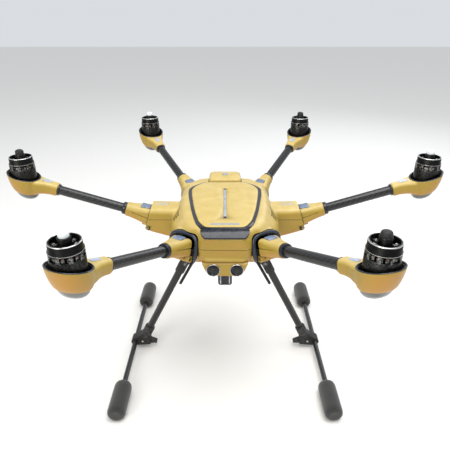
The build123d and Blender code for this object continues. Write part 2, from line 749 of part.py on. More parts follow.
# ---------------------------------------------------------------- writing the nodes
front_arms = [arm_frame(ARM_AZIMUTHS[name]).location for name in ("front_left", "front_right")]
all_arms = [arm_frame(azimuth).location for azimuth in ARM_AZIMUTHS.values()]

write(top_shell.part, "top_shell")
write(bottom_shell.part, "bottom_shell")
write(top_panel.part, "top_panel")
write(trim_band.part, "trim_band")
write(nose_housing.part, "nose_housing")
write(sonar_sensors.part, "sonar_sensors")
write(gimbal_mount.part, "gimbal_mount")
write(battery_bay.part, "battery_bay")
write(main_board.part, "main_board")
write(battery_pack.part, "battery_pack")
write(battery_button.part, "battery_button")
write(group(*[pocket_arch.part.moved(place) for place in front_arms]), "pocket_arches")
write(
    group(*[arm_pin.part.moved(place) for place in all_arms], both_sides(leg_pin.part)),
    "hinge_pins",
)
write(group(both_sides(leg_bracket.part), both_sides(retract_servo.part)), "retract_units")

leg_masters = {
    "leg_strut": leg_strut_local.part.moved(leg_frame.location),
    "leg_joints": group(knuckle_local.part.moved(leg_frame.location), foot_bracket.part),
    "skid_tube": skid_tube.part,
    "foam_ends": group(foam_ends.part),
    "antenna": antenna_local.part.moved(antenna_frame.location),
}
for name, piece in leg_masters.items():
    write(piece, f"{name}_right")
    write(mirrored(piece), f"{name}_left")

arm_masters = {
    "arm_root": arm_root.part,
    "arm_tube": group(arm_tube.part, collars.part),
    "motor_pod": group(motor_pod.part, pod_lens.part),
    "release_button": release_button.part,
}
motor_masters = {"stator": stator.part, "bell": bell.part}
for arm, azimuth in ARM_AZIMUTHS.items():
    for name, piece in arm_masters.items():
        write(piece.moved(arm_frame(azimuth).location), f"{name}_{arm}")
    for name, piece in motor_masters.items():
        write(piece.moved(motor_frame(azimuth).location), f"{name}_{arm}")
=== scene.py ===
"""Looks of the folding six-arm camera drone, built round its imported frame.

Meshes are drawn in millimetres and turned to metres as each piece is made. Arm pieces are drawn once in the
arm frame (x out along the tube, z square to it), motor pieces in the motor frame (plumb, at the pod's rim).
"""

import json
from math import atan2, cos, pi, radians, sin

import bmesh
import bpy
from mathutils import Matrix, Vector


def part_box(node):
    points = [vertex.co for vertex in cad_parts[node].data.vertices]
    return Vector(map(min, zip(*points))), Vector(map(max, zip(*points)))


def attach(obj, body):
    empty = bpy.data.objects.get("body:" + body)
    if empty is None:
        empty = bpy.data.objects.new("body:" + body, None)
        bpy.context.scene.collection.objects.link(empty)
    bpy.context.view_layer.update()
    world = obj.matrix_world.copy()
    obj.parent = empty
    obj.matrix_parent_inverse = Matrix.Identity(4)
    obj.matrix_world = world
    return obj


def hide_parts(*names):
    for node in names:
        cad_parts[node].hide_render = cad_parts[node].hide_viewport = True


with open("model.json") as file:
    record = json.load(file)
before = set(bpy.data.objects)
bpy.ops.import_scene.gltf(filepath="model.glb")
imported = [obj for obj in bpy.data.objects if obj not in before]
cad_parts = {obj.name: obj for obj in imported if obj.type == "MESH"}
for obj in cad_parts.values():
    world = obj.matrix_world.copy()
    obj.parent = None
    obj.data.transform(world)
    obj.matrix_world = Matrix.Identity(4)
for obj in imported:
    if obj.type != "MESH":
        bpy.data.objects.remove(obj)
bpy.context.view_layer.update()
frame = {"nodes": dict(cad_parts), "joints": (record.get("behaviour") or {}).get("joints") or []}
MM = 0.001

# ---------------------------------------------------------------- places read from the frame
JOINTS = {joint["name"]: joint for joint in frame["joints"]}
ARMS = ("right", "rear_right", "rear_left", "left", "front_left", "front_right")
FRONT_ARMS = ("front_left", "front_right")
WHITE_CAPS = ("front_left", "right", "rear_left")
ARM_SLOPE = radians(17.3)
PIN_X, PIN_Z = 4.0, -12.5
AXIS_UNDER_RIM = 7.5
RIM_LIFT = AXIS_UNDER_RIM * cos(ARM_SLOPE)
ROOT_START, ROOT_END = 6.8, 35.5
TUBE_R = 5.6
POD_LEAN = 0.33


def joint_place(name):
    """A joint's place in the row frame, in millimetres."""
    return Vector(JOINTS[name]["pos_m"]) / MM


def azimuth_of(arm):
    """The direction of an arm seen from above, from its motor's place."""
    place = joint_place(f"spin_{arm}")
    return atan2(place.y, place.x)


def arm_matrix(arm):
    """From the arm frame to the row frame, in millimetres."""
    a, s = azimuth_of(arm), ARM_SLOPE
    x = Vector((cos(a) * cos(s), sin(a) * cos(s), sin(s)))
    y = Vector((-sin(a), cos(a), 0))
    z = x.cross(y)
    origin = joint_place(f"fold_{arm}") - x * PIN_X - z * PIN_Z
    return Matrix.Translation(origin) @ Matrix((x, y, z)).transposed().to_4x4()


def motor_matrix(arm):
    """From the motor frame to the row frame, in millimetres."""
    return Matrix.Translation(joint_place(f"spin_{arm}")) @ Matrix.Rotation(azimuth_of(arm), 4, "Z")


def pod_x():
    """How far out along the arm the pod's centre is."""
    rim = arm_matrix("right").inverted() @ joint_place("spin_right")
    return rim.x


POD_X = pod_x()
NECK_X = POD_X - 42.0
SEAM_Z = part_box("top_shell")[0].z / MM
DECK_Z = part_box("top_panel")[0].z / MM


# ---------------------------------------------------------------- node tools
class Nodes:
    """A node tree with short calls for adding and joining nodes."""

    def __init__(self, tree):
        self.tree = tree

    def add(self, kind, **settings):
        node = self.tree.nodes.new(kind)
        for name, value in settings.items():
            setattr(node, name, value)
        return node

    def join(self, source, target):
        self.tree.links.new(source, target)

    def math(self, operation, first, second=None):
        node = self.add("ShaderNodeMath", operation=operation)
        for socket, value in zip(node.inputs, (first, second)):
            if value is None:
                continue
            if isinstance(value, (int, float)):
                socket.default_value = value
            else:
                self.join(value, socket)
        return node.outputs[0]

    def ramp(self, factor, low, high):
        """0 below low, 1 above high."""
        node = self.add("ShaderNodeMapRange", clamp=True)
        node.inputs["From Min"].default_value = low
        node.inputs["From Max"].default_value = high
        self.join(factor, node.inputs["Value"])
        return node.outputs["Result"]

    def mix(self, factor, first, second, blend="MIX"):
        """A colour between two, each a socket or a plain colour."""
        node = self.add("ShaderNodeMix", data_type="RGBA", blend_type=blend)
        for socket, value in ((node.inputs[0], factor), (node.inputs[6], first), (node.inputs[7], second)):
            if isinstance(value, (int, float)):
                socket.default_value = value
            elif isinstance(value, tuple):
                socket.default_value = (*value, 1.0)
            else:
                self.join(value, socket)
        return node.outputs[2]

    def noise(self, coords, scale, detail=4.0, roughness=0.5):
        node = self.add("ShaderNodeTexNoise")
        node.inputs["Detail"].default_value = detail
        node.inputs["Roughness"].default_value = roughness
        self.join(coords, node.inputs["Vector"])
        if isinstance(scale, (int, float)):
            node.inputs["Scale"].default_value = scale
        else:
            self.join(scale, node.inputs["Scale"])
        return node.outputs["Fac"]


def new_group(name, inputs, outputs):
    """An empty node group with named number inputs, and named number or colour outputs."""
    tree = bpy.data.node_groups.new(name, "ShaderNodeTree")
    for label, value in inputs.items():
        socket = tree.interface.new_socket(name=label, in_out="INPUT", socket_type="NodeSocketFloat")
        socket.default_value = value
    for label in outputs:
        tree.interface.new_socket(name=label, in_out="OUTPUT", socket_type="NodeSocketFloat")
    nodes = Nodes(tree)
    return tree, nodes, nodes.add("NodeGroupInput"), nodes.add("NodeGroupOutput")


def fine_grain():
    """Moulded grain: a height for the bump, and soft blotches that vary the colour."""
    tree, n, inside, out = new_group("fine_grain", {"Grain": 2500.0, "Blotches": 40.0}, ("Height", "Mottle"))
    coords = n.add("ShaderNodeTexCoord").outputs["Object"]
    n.join(n.noise(coords, inside.outputs["Grain"], 3.0, 0.6), out.inputs["Height"])
    n.join(n.ramp(n.noise(coords, inside.outputs["Blotches"], 5.0, 0.6), 0.3, 0.7), out.inputs["Mottle"])
    return tree


def edge_wear():
    """A mask that is 1 on sharp outer edges, broken up so that it looks rubbed."""
    tree, n, inside, out = new_group("edge_wear", {"Amount": 0.5, "Breakup": 300.0}, ("Mask",))
    coords = n.add("ShaderNodeTexCoord").outputs["Object"]
    point = n.ramp(n.add("ShaderNodeNewGeometry").outputs["Pointiness"], 0.53, 0.6)
    rubbed = n.ramp(n.noise(coords, inside.outputs["Breakup"]), 0.4, 0.65)
    n.join(n.math("MULTIPLY", n.math("MULTIPLY", point, rubbed), inside.outputs["Amount"]), out.inputs["Mask"])
    return tree


def settled_dust():
    """A mask of thin dust on what faces up."""
    tree, n, inside, out = new_group("settled_dust", {"Amount": 0.15}, ("Mask",))
    coords = n.add("ShaderNodeTexCoord")
    up = n.add("ShaderNodeSeparateXYZ")
    n.join(coords.outputs["Normal"], up.inputs[0])
    patches = n.ramp(n.noise(coords.outputs["Object"], 90.0, 6.0, 0.7), 0.45, 0.75)
    facing = n.ramp(up.outputs["Z"], 0.2, 1.0)
    n.join(n.math("MULTIPLY", n.math("MULTIPLY", facing, patches), inside.outputs["Amount"]), out.inputs["Mask"])
    return tree


def canvas_weave():
    """The film's printed canvas: crossed threads as a height."""
    tree, n, inside, out = new_group("canvas_weave", {"Threads": 1500.0}, ("Height",))
    coords = n.add("ShaderNodeTexCoord").outputs["Object"]
    waves = []
    for axis in ("X", "Y", "Z"):
        wave = n.add("ShaderNodeTexWave", wave_type="BANDS", bands_direction=axis)
        wave.inputs["Distortion"].default_value = 1.5
        wave.inputs["Detail Scale"].default_value = 2.0
        n.join(coords, wave.inputs["Vector"])
        n.join(inside.outputs["Threads"], wave.inputs["Scale"])
        waves.append(wave.outputs["Fac"])
    crossed = n.math("ADD", n.math("MULTIPLY", waves[0], waves[1]), waves[2])
    n.join(n.math("MULTIPLY", crossed, 0.5), out.inputs["Height"])
    return tree


def carbon_twill():
    """Two-by-two twill, laid along a tube's own length: a mask of the tows and a height."""
    tree, n, inside, out = new_group("carbon_twill", {"Around": 20.0, "Along": 60.0}, ("Tows", "Height"))
    uv = n.add("ShaderNodeSeparateXYZ")
    n.join(n.add("ShaderNodeTexCoord").outputs["UV"], uv.inputs[0])
    across = n.math("MULTIPLY", uv.outputs["X"], inside.outputs["Around"])
    along = n.math("MULTIPLY", uv.outputs["Y"], inside.outputs["Along"])
    step = n.math("ADD", n.math("FLOOR", across), n.math("FLOOR", along))
    tows = n.math("LESS_THAN", n.math("FLOORED_MODULO", step, 4.0), 1.5)
    bow = n.math("ABSOLUTE", n.math("SUBTRACT", n.math("FRACT", across), 0.5))
    n.join(tows, out.inputs["Tows"])
    n.join(n.math("SUBTRACT", tows, bow), out.inputs["Height"])
    return tree


GROUPS = {
    "grain": fine_grain(),
    "wear": edge_wear(),
    "dust": settled_dust(),
    "canvas": canvas_weave(),
    "twill": carbon_twill(),
}


class Finish:
    """A material under way: its shader, and calls that place the shared effects."""

    def __init__(self, name, roughness, metallic=0.0, **constants):
        self.material = bpy.data.materials.new(name)
        self.material.use_nodes = True
        self.n = Nodes(self.material.node_tree)
        self.shader = self.material.node_tree.nodes["Principled BSDF"]
        self.shader.inputs["Roughness"].default_value = roughness
        self.shader.inputs["Metallic"].default_value = metallic
        for label, value in constants.items():
            self.shader.inputs[label.replace("_", " ")].default_value = value

    def effect(self, group, **values):
        node = self.n.add("ShaderNodeGroup", node_tree=GROUPS[group])
        for label, value in values.items():
            node.inputs[label].default_value = value
        return node.outputs

    def colour(self, socket):
        self.n.join(socket, self.shader.inputs["Base Color"])

    def rough(self, factor, low, high):
        node = self.n.add("ShaderNodeMapRange", clamp=True)
        node.inputs["To Min"].default_value = low
        node.inputs["To Max"].default_value = high
        self.n.join(factor, node.inputs["Value"])
        self.n.join(node.outputs["Result"], self.shader.inputs["Roughness"])

    def bump(self, height, depth, strength=0.5):
        node = self.n.add("ShaderNodeBump")
        node.inputs["Strength"].default_value = strength
        node.inputs["Distance"].default_value = depth
        self.n.join(height, node.inputs["Height"])
        self.n.join(node.outputs["Normal"], self.shader.inputs["Normal"])


# ---------------------------------------------------------------- finishes
def golden_film(name, painted_lit_top, painted_wall_shade, low):
    """Wrapped canvas film, coloured by facing as painted light and shade: a pale painted lit top with painted sheen
    where it faces up, painted shade of olive gold on walls and orange gold underneath.
    """
    f = Finish(name, 0.4, Coat_Weight=0.25, Coat_Roughness=0.25)
    up = f.n.add("ShaderNodeSeparateXYZ")
    f.n.join(f.n.add("ShaderNodeTexCoord").outputs["Normal"], up.inputs[0])
    grain = f.effect("grain", Grain=1800.0, Blotches=55.0)
    # Painted shade: low is the orange gold underneath, mixed towards the olive gold walls by which way the surface
    # faces.
    painted_shade_blend = f.n.mix(f.n.ramp(up.outputs["Z"], -0.55, 0.05), low, painted_wall_shade)
    # Painted light: the pale lit top with its painted sheen, where the surface faces up.
    base = f.n.mix(f.n.ramp(up.outputs["Z"], 0.15, 0.85), painted_shade_blend, painted_lit_top)
    mottled = f.n.mix(f.n.math("MULTIPLY", grain["Mottle"], 0.35), base, (0.3, 0.215, 0.018))
    worn = f.n.mix(f.effect("wear", Amount=0.4)["Mask"], mottled, (0.72, 0.56, 0.2))
    f.colour(f.n.mix(f.effect("dust", Amount=0.14)["Mask"], worn, (0.68, 0.62, 0.44)))
    f.rough(grain["Mottle"], 0.33, 0.5)
    weave = f.effect("canvas", Threads=1400.0)["Height"]
    f.bump(f.n.math("ADD", weave, grain["Height"]), 0.00012, 0.45)
    return f.material


def moulded(name, colour, light, roughness, grain=2600.0, depth=0.00006, wear=0.4, coat=0.0):
    """Moulded plastic with a fine grain, uneven gloss and rubbed edges."""
    f = Finish(name, roughness, Coat_Weight=coat, Coat_Roughness=0.05, Specular_IOR_Level=0.25)
    effect = f.effect("grain", Grain=grain, Blotches=70.0)
    base = f.n.mix(f.n.math("MULTIPLY", effect["Mottle"], 0.4), colour, light)
    worn = f.n.mix(f.effect("wear", Amount=wear)["Mask"], base, tuple(min(1.0, 3.5 * c + 0.06) for c in light))
    f.colour(f.n.mix(f.effect("dust", Amount=0.1)["Mask"], worn, (0.3, 0.3, 0.29)))
    f.rough(effect["Mottle"], roughness * 0.85, min(1.0, roughness * 1.2))
    f.bump(effect["Height"], depth, 0.4)
    return f.material


def carbon(name, around, along):
    """Clear-coated carbon tube."""
    f = Finish(name, 0.35, Coat_Weight=0.35, Coat_Roughness=0.06, Specular_IOR_Level=0.3)
    twill = f.effect("twill", Around=around, Along=along)
    base = f.n.mix(twill["Tows"], (0.006, 0.006, 0.007), (0.016, 0.016, 0.016))
    f.colour(f.n.mix(f.effect("dust", Amount=0.05)["Mask"], base, (0.16, 0.16, 0.15)))
    f.rough(twill["Tows"], 0.28, 0.46)
    f.bump(twill["Height"], 0.00008, 0.5)
    return f.material


def metal(name, colour, light, roughness, scratch=900.0, wear=0.6):
    """Turned or anodised metal with fine tool marks."""
    f = Finish(name, roughness, metallic=1.0)
    effect = f.effect("grain", Grain=scratch, Blotches=90.0)
    base = f.n.mix(f.n.math("MULTIPLY", effect["Mottle"], 0.4), colour, light)
    f.colour(f.n.mix(f.effect("wear", Amount=wear, Breakup=500.0)["Mask"], base, (0.75, 0.74, 0.7)))
    f.rough(effect["Mottle"], roughness * 0.8, roughness * 1.3)
    f.bump(effect["Height"], 0.00003, 0.3)
    return f.material


def foam(name):
    """Closed-cell foam sleeve: matte, with small pores."""
    f = Finish(name, 0.92, Sheen_Weight=0.25, Sheen_Roughness=0.6)
    cells = f.n.add("ShaderNodeTexVoronoi", feature="F1")
    cells.inputs["Scale"].default_value = 900.0
    f.n.join(f.n.add("ShaderNodeTexCoord").outputs["Object"], cells.inputs["Vector"])
    grain = f.effect("grain", Grain=1500.0, Blotches=60.0)
    base = f.n.mix(f.n.math("MULTIPLY", grain["Mottle"], 0.5), (0.01, 0.01, 0.009), (0.024, 0.024, 0.02))
    f.colour(f.n.mix(f.effect("dust", Amount=0.08)["Mask"], base, (0.1, 0.098, 0.08)))
    f.rough(grain["Mottle"], 0.85, 0.97)
    f.bump(f.n.math("ADD", cells.outputs["Distance"], grain["Height"]), 0.0003, 0.5)
    return f.material


def smoked_lens(name):
    """Smoky grey status lens with a faint frosted grain."""
    f = Finish(name, 0.16, Coat_Weight=0.6, Coat_Roughness=0.05, IOR=1.49)
    grain = f.effect("grain", Grain=700.0, Blotches=50.0)
    f.colour(f.n.mix(grain["Mottle"], (0.05, 0.055, 0.055), (0.12, 0.125, 0.115)))
    f.rough(grain["Mottle"], 0.12, 0.24)
    f.bump(grain["Height"], 0.00004, 0.3)
    return f.material


FINISH = {
    # The film's three colours are painted light and shade: a pale painted lit top, olive gold painted shade on walls,
    # orange gold painted shade underneath.
    "film": golden_film("golden_film", (0.56, 0.41, 0.12), (0.35, 0.225, 0.014), (0.46, 0.2, 0.012)),
    "black": moulded("black_moulding", (0.014, 0.014, 0.014), (0.035, 0.035, 0.034), 0.5),
    "gloss": moulded("gloss_black", (0.006, 0.007, 0.012), (0.012, 0.016, 0.03), 0.2, wear=0.1, coat=0.25),
    "grey": moulded("grey_blue_moulding", (0.15, 0.19, 0.28), (0.24, 0.29, 0.4), 0.42),
    "badge": moulded("badge_plate", (0.22, 0.25, 0.29), (0.42, 0.46, 0.5), 0.28, coat=0.5),
    "white": moulded("white_cap", (0.72, 0.78, 0.8), (0.85, 0.88, 0.88), 0.35, coat=0.3),
    "seam": moulded("seam_shadow", (0.02, 0.017, 0.01), (0.03, 0.025, 0.015), 0.8),
    "lens_black": moulded("sonar_face", (0.003, 0.003, 0.004), (0.008, 0.008, 0.009), 0.16, coat=0.35),
    "board": moulded("circuit_board", (0.02, 0.1, 0.05), (0.03, 0.16, 0.08), 0.4),
    "inlay": moulded("pale_blue_inlay", (0.26, 0.32, 0.46), (0.4, 0.46, 0.6), 0.3, coat=0.5),
    "arch": moulded("slate_gloss", (0.014, 0.018, 0.03), (0.03, 0.038, 0.06), 0.25, coat=0.6),
    "tube": carbon("carbon_tube", 24.0, 72.0),
    "leg": carbon("carbon_leg", 20.0, 110.0),
    "anodised": metal("anodised_black", (0.012, 0.012, 0.012), (0.035, 0.035, 0.033), 0.36),
    "bright": metal("bright_metal", (0.6, 0.6, 0.58), (0.8, 0.8, 0.78), 0.22),
    "copper": metal("wound_copper", (0.2, 0.07, 0.03), (0.36, 0.16, 0.07), 0.34, scratch=2200.0, wear=0.2),
    "foam": foam("closed_cell_foam"),
    "lens": smoked_lens("smoked_lens"),
}


# ---------------------------------------------------------------- mesh tools
def make(name, bm, finish, smooth=40.0):
    """Turns millimetre geometry into an object in metres, shaded smooth below the given edge angle."""
    bmesh.ops.recalc_face_normals(bm, faces=bm.faces)
    bmesh.ops.scale(bm, vec=(MM, MM, MM), verts=bm.verts)
    mesh = bpy.data.meshes.new(name)
    bm.to_mesh(mesh)
    bm.free()
    piece = bpy.data.objects.new(name, mesh)
    bpy.context.scene.collection.objects.link(piece)
    for key in finish if isinstance(finish, (list, tuple)) else [finish]:
        mesh.materials.append(FINISH[key])
    shade(piece, smooth)
    return piece


def shade(piece, angle=40.0):
    """Smooth shading, with edges sharper than the angle kept sharp."""
    mesh = piece.data
    mesh.shade_smooth()
    mesh.set_sharp_from_angle(angle=radians(angle))


def settle(piece):
    """Applies the piece's modifiers to its mesh."""
    graph = bpy.context.evaluated_depsgraph_get()
    graph.update()
    baked = bpy.data.meshes.new_from_object(piece.evaluated_get(graph), depsgraph=graph)
    piece.modifiers.clear()
    old = piece.data
    piece.data = baked
    if old.users == 0:
        bpy.data.meshes.remove(old)
    return piece


def bevel(piece, width, segments=3, angle=35.0):
    """Rounds the piece's sharp edges, by a width in millimetres."""
    tool = piece.modifiers.new("round", "BEVEL")
    tool.width = width * MM
    tool.segments = segments
    tool.limit_method = "ANGLE"
    tool.angle_limit = radians(angle)
    tool.harden_normals = False
    settle(piece)
    shade(piece, 40.0)
    return piece


def cut(piece, cutter):
    """Takes the cutter's space out of the piece, and removes the cutter."""
    tool = piece.modifiers.new("cut", "BOOLEAN")
    tool.operation = "DIFFERENCE"
    tool.object = cutter
    tool.solver = "EXACT"
    settle(piece)
    bpy.data.objects.remove(cutter)
    return piece


def loops_mesh(bm, loops, caps=True, close=True, matrix=Matrix.Identity(4)):
    """Skins a list of loops of equal length; each runs round once, with UVs around and along."""
    uv = bm.loops.layers.uv.verify()
    rings = [[bm.verts.new(matrix @ Vector(point)) for point in loop] for loop in loops]
    count, rows = len(rings[0]), len(rings)
    for row in range(rows - 1):
        for i in range(count if close else count - 1):
            j = (i + 1) % count
            face = bm.faces.new((rings[row][i], rings[row][j], rings[row + 1][j], rings[row + 1][i]))
            around = (i / count, (i + 1) / count, (i + 1) / count, i / count)
            along = (row, row, row + 1, row + 1)
            for corner, u, v in zip(face.loops, around, along):
                corner[uv].uv = (u, v / (rows - 1))
    if caps:
        bm.faces.new(rings[0][::-1])
        bm.faces.new(rings[-1])
    return bm


def circle(radius, steps, place=lambda a, r: Vector((r * cos(a), r * sin(a), 0))):
    return [place(2 * pi * i / steps, radius) for i in range(steps)]


def lathe(bm, profile, steps=48, matrix=Matrix.Identity(4)):
    """A closed ring of (radius, height) points turned about z. Points at radius 0 close to a pole."""
    rings = []
    for radius, height in profile:
        rise = Vector((0, 0, height))
        points = [rise] if radius == 0 else [p + rise for p in circle(radius, steps)]
        rings.append([bm.verts.new(matrix @ p) for p in points])
    for low, high in zip(rings, rings[1:]):
        skin_rings(bm, low, high, steps)
    if len(rings[0]) > 1 and len(rings[-1]) > 1:
        skin_rings(bm, rings[-1], rings[0], steps)


def skin_rings(bm, low, high, steps):
    for i in range(steps):
        j = (i + 1) % steps
        corners = [low[i % len(low)], low[j % len(low)], high[j % len(high)], high[i % len(high)]]
        unique = list(dict.fromkeys(corners))
        if len(unique) > 2:
            bm.faces.new(unique)


def block(bm, size, centre, matrix=Matrix.Identity(4)):
    """A box by its size and centre."""
    made = bmesh.ops.create_cube(bm, size=1.0)
    placed = matrix @ Matrix.Translation(centre) @ Matrix.Diagonal((*size, 1.0))
    bmesh.ops.transform(bm, matrix=placed, verts=made["verts"])


def rod(bm, radius, start, end, steps=24, end_radius=None):
    """A solid round rod between two points."""
    start, end = Vector(start), Vector(end)
    turn = (end - start).to_track_quat("Z", "Y").to_matrix().to_4x4()
    length = (end - start).length
    made = bmesh.ops.create_cone(
        bm,
        cap_ends=True,
        segments=steps,
        radius1=radius,
        radius2=radius if end_radius is None else end_radius,
        depth=length,
    )
    placed = Matrix.Translation(start) @ turn @ Matrix.Translation((0, 0, length / 2))
    bmesh.ops.transform(bm, matrix=placed, verts=made["verts"])


def rounded_rect(width, height, radius, steps=6, centre=(0.0, 0.0)):
    """Corner points of a rounded rectangle, anticlockwise."""
    radius = min(radius, width / 2 - 0.01, height / 2 - 0.01)
    points = []
    for k, (sx, sy) in enumerate(((1, 1), (-1, 1), (-1, -1), (1, -1))):
        cx, cy = sx * (width / 2 - radius), sy * (height / 2 - radius)
        for i in range(steps + 1):
            a = k * pi / 2 + i * pi / 2 / steps
            points.append((cx + radius * cos(a) + centre[0], cy + radius * sin(a) + centre[1]))
    return points


def across(x, points):
    """Places plane points square to the x axis."""
    return [Vector((x, u, v)) for u, v in points]


def place(name, master, matrix_mm, body, slot, nodes=()):
    """A copy of a master piece, set in the row frame, riding on its body."""
    piece = bpy.data.objects.new(name, master.data)
    bpy.context.scene.collection.objects.link(piece)
    matrix = matrix_mm.copy()
    matrix.translation = matrix_mm.translation * MM
    piece.matrix_world = matrix
    return dress(piece, body, slot, nodes)


def dress(piece, body, slot, nodes=()):
    """Ties a piece to its body and hides the frame's nodes that it stands for; the finish slot argument is not used."""
    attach(piece, body)
    if nodes:
        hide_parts(*nodes)
    return piece


# ---------------------------------------------------------------- hull
# Stations from nose to tail: y, deck half width and height, wall half width, the heights of shoulder and
# chine, belly half width and height. They follow the frame's hull.
HULL_KEYS = (
    (-96.5, 21.0, 246.0, 26.0, 241.0, 225.0, 22.0, 219.5),
    (-89.0, 28.0, 252.5, 34.0, 244.5, 223.5, 28.0, 217.5),
    (-81.0, 33.0, 255.0, 42.0, 245.0, 223.5, 32.0, 217.5),
    (-62.0, 41.0, 255.0, 56.0, 242.0, 225.5, 40.0, 217.5),
    (-58.0, 42.0, 255.0, 58.0, 241.0, 221.5, 40.0, 198.5),
    (-44.0, 45.0, 255.0, 62.5, 237.5, 221.5, 42.0, 191.5),
    (-24.0, 48.0, 255.0, 65.0, 235.5, 217.5, 44.0, 183.5),
    (-12.0, 49.5, 255.0, 61.0, 240.0, 211.5, 45.0, 174.5),
    (10.0, 50.0, 255.0, 58.0, 245.5, 207.5, 45.0, 165.5),
    (52.0, 49.0, 255.0, 55.0, 245.5, 207.5, 45.0, 165.5),
    (76.0, 36.0, 252.5, 43.0, 244.5, 209.5, 38.0, 175.5),
    (96.0, 26.0, 245.5, 31.0, 239.5, 217.5, 26.0, 199.5),
)
HULL_RADII = (5.0, 7.0, 9.0, 9.0)
HULL_STEP = 2.0
FRONT_BULGE, FRONT_BULGE_Y = 9.0, -80.0
WALL = 2.2
SHOULDER_HALF = 17.0
SHOULDER_REACH = 6.5
HINGE_GAP_TOP = -6.2
NOSE_REAR, NOSE_TOP = -62.0, 217.5
ARCH_OUTLINE = (39.2, 33.4, 7.0)
ARCH_CENTRE = 0.7


def hull_values(y):
    """The hull's seven measures at one station, between the keys."""
    for low, high in zip(HULL_KEYS, HULL_KEYS[1:]):
        if y <= high[0]:
            t = (y - low[0]) / (high[0] - low[0])
            return [a + (b - a) * t for a, b in zip(low[1:], high[1:])]
    return list(HULL_KEYS[-1][1:])


def rounded_outline(corners, radii, steps=5):
    """A convex outline with each corner rounded by its own radius."""
    points = []
    for i, (corner, radius) in enumerate(zip(corners, radii)):
        before, after = Vector(corners[i - 1]), Vector(corners[(i + 1) % len(corners)])
        at = Vector(corner)
        inward, outward = (before - at), (after - at)
        reach = min(radius, 0.45 * inward.length, 0.45 * outward.length)
        start, end = at + inward.normalized() * reach, at + outward.normalized() * reach
        for k in range(steps + 1):
            t = k / steps
            points.append(start * (1 - t) ** 2 + at * 2 * t * (1 - t) + end * t**2)
    return points


def hull_loop(y, inset=0.0):
    top, roof, side, shoulder, chine, belly, floor = hull_values(y)
    top, side, belly, roof, floor = top - inset, side - inset, belly - inset, roof - inset, floor + inset
    corners = [(top, roof), (side, shoulder), (side, chine), (belly, floor)]
    corners += [(-x, z) for x, z in reversed(corners)]
    outline = rounded_outline(corners, HULL_RADII + tuple(reversed(HULL_RADII)))
    ahead = max(0.0, min(1.0, (FRONT_BULGE_Y - y) / 16.5))
    return [Vector((p.x, y + ahead * FRONT_BULGE * (p.x / 32.0) ** 2, p.y)) for p in outline]


def hull_form(inset=0.0):
    first, last = HULL_KEYS[0][0] + inset, HULL_KEYS[-1][0] - inset
    count = int((last - first) / HULL_STEP)
    rows = [hull_loop(first + (last - first) * i / count, inset) for i in range(count + 1)]
    face = []
    for scale in (0.03, 0.2, 0.4, 0.6, 0.8, 0.93):
        middle = (rows[0][0].z + rows[0][len(rows[0]) // 2 - 1].z) / 2
        bulge = [FRONT_BULGE * (p.x / 32.0) ** 2 * (scale**2 - 1) for p in rows[0]]
        face.append([Vector((p.x * scale, p.y + b, middle + (p.z - middle) * scale)) for p, b in zip(rows[0], bulge)])
    return rows


def soften(piece, voxel, rounds, factor=0.5):
    """Joins overlapping forms into one skin, and smooths where they meet."""
    tool = piece.modifiers.new("join", "REMESH")
    tool.mode = "VOXEL"
    tool.voxel_size = voxel * MM
    tool.use_smooth_shade = True
    smooth = piece.modifiers.new("smooth", "SMOOTH")
    smooth.factor = factor
    smooth.iterations = rounds
    return settle(piece)


def cutter(bm_maker, name="cutter"):
    bm = bmesh.new()
    bm_maker(bm)
    return make(name, bm, "black")


def build_hull():
    bm = bmesh.new()
    loops_mesh(bm, hull_form())
    shoulder = [
        across(-33.0, rounded_rect(2 * SHOULDER_HALF, 43.0, 9.0, centre=(0, 5.0))),
        across(7.5, rounded_rect(2 * SHOULDER_HALF - 0.6, 30.6, 7.0, centre=(0, -0.6))),
    ]
    for arm in ARMS:
        loops_mesh(bm, shoulder, matrix=arm_matrix(arm))
    hull = make("hull", bm, ["film", "black"])
    soften(hull, 1.1, 8)

    def arm_gaps(tool):
        for arm in ARMS:
            if arm not in FRONT_ARMS:
                block(tool, (60.0, 2 * SHOULDER_HALF + 1.0, 60.0), (30.0 + SHOULDER_REACH, 0, 10.0), arm_matrix(arm))

    def hinge_gaps(tool):
        for arm in ARMS:
            block(tool, (60.0, 2 * SHOULDER_HALF + 1.0, 60.0), (30.0, 0, HINGE_GAP_TOP - 30.0), arm_matrix(arm))

    def arch_gaps(tool):
        width, height, radius = ARCH_OUTLINE
        outline = rounded_rect(width + 0.2, height + 0.2, radius, 6, (0, ARCH_CENTRE))
        for arm in FRONT_ARMS:
            loops_mesh(tool, [across(0.1, outline), across(60.0, outline)], matrix=arm_matrix(arm))

    def front_slots(tool):
        for side in (-1, 1):
            turn = Matrix.Translation((side * 28.7, -91.0, 221.0)) @ Matrix.Rotation(side * 0.7, 4, "Z")
            block(tool, (6.0, 5.0, 1.7), (0, 0, 0), turn)

    cut(hull, cutter(arm_gaps))
    cut(hull, cutter(hinge_gaps))
    cut(hull, cutter(arch_gaps))
    cut(hull, cutter(front_slots))
    for side in (-1, 1):
        cut(hull, cutter(lambda tool: vent_slits(tool, side)))
    cut(hull, cutter(lambda tool: loops_mesh(tool, hull_form(WALL))))

    def bay(tool):
        block(tool, (49.0, 64.0, 35.0), (0, 88.0, 218.5))

    cut(hull, cutter(bay))
    cut(hull, cutter(lambda tool: block(tool, (45.0, 64.0, 60.0), (0, 89.5, 263.5))))
    cut(hull, cutter(lambda tool: block(tool, (52.2, 40.0, 30.0), (0, NOSE_REAR - 20.0, NOSE_TOP - 15.0))))
    return hull


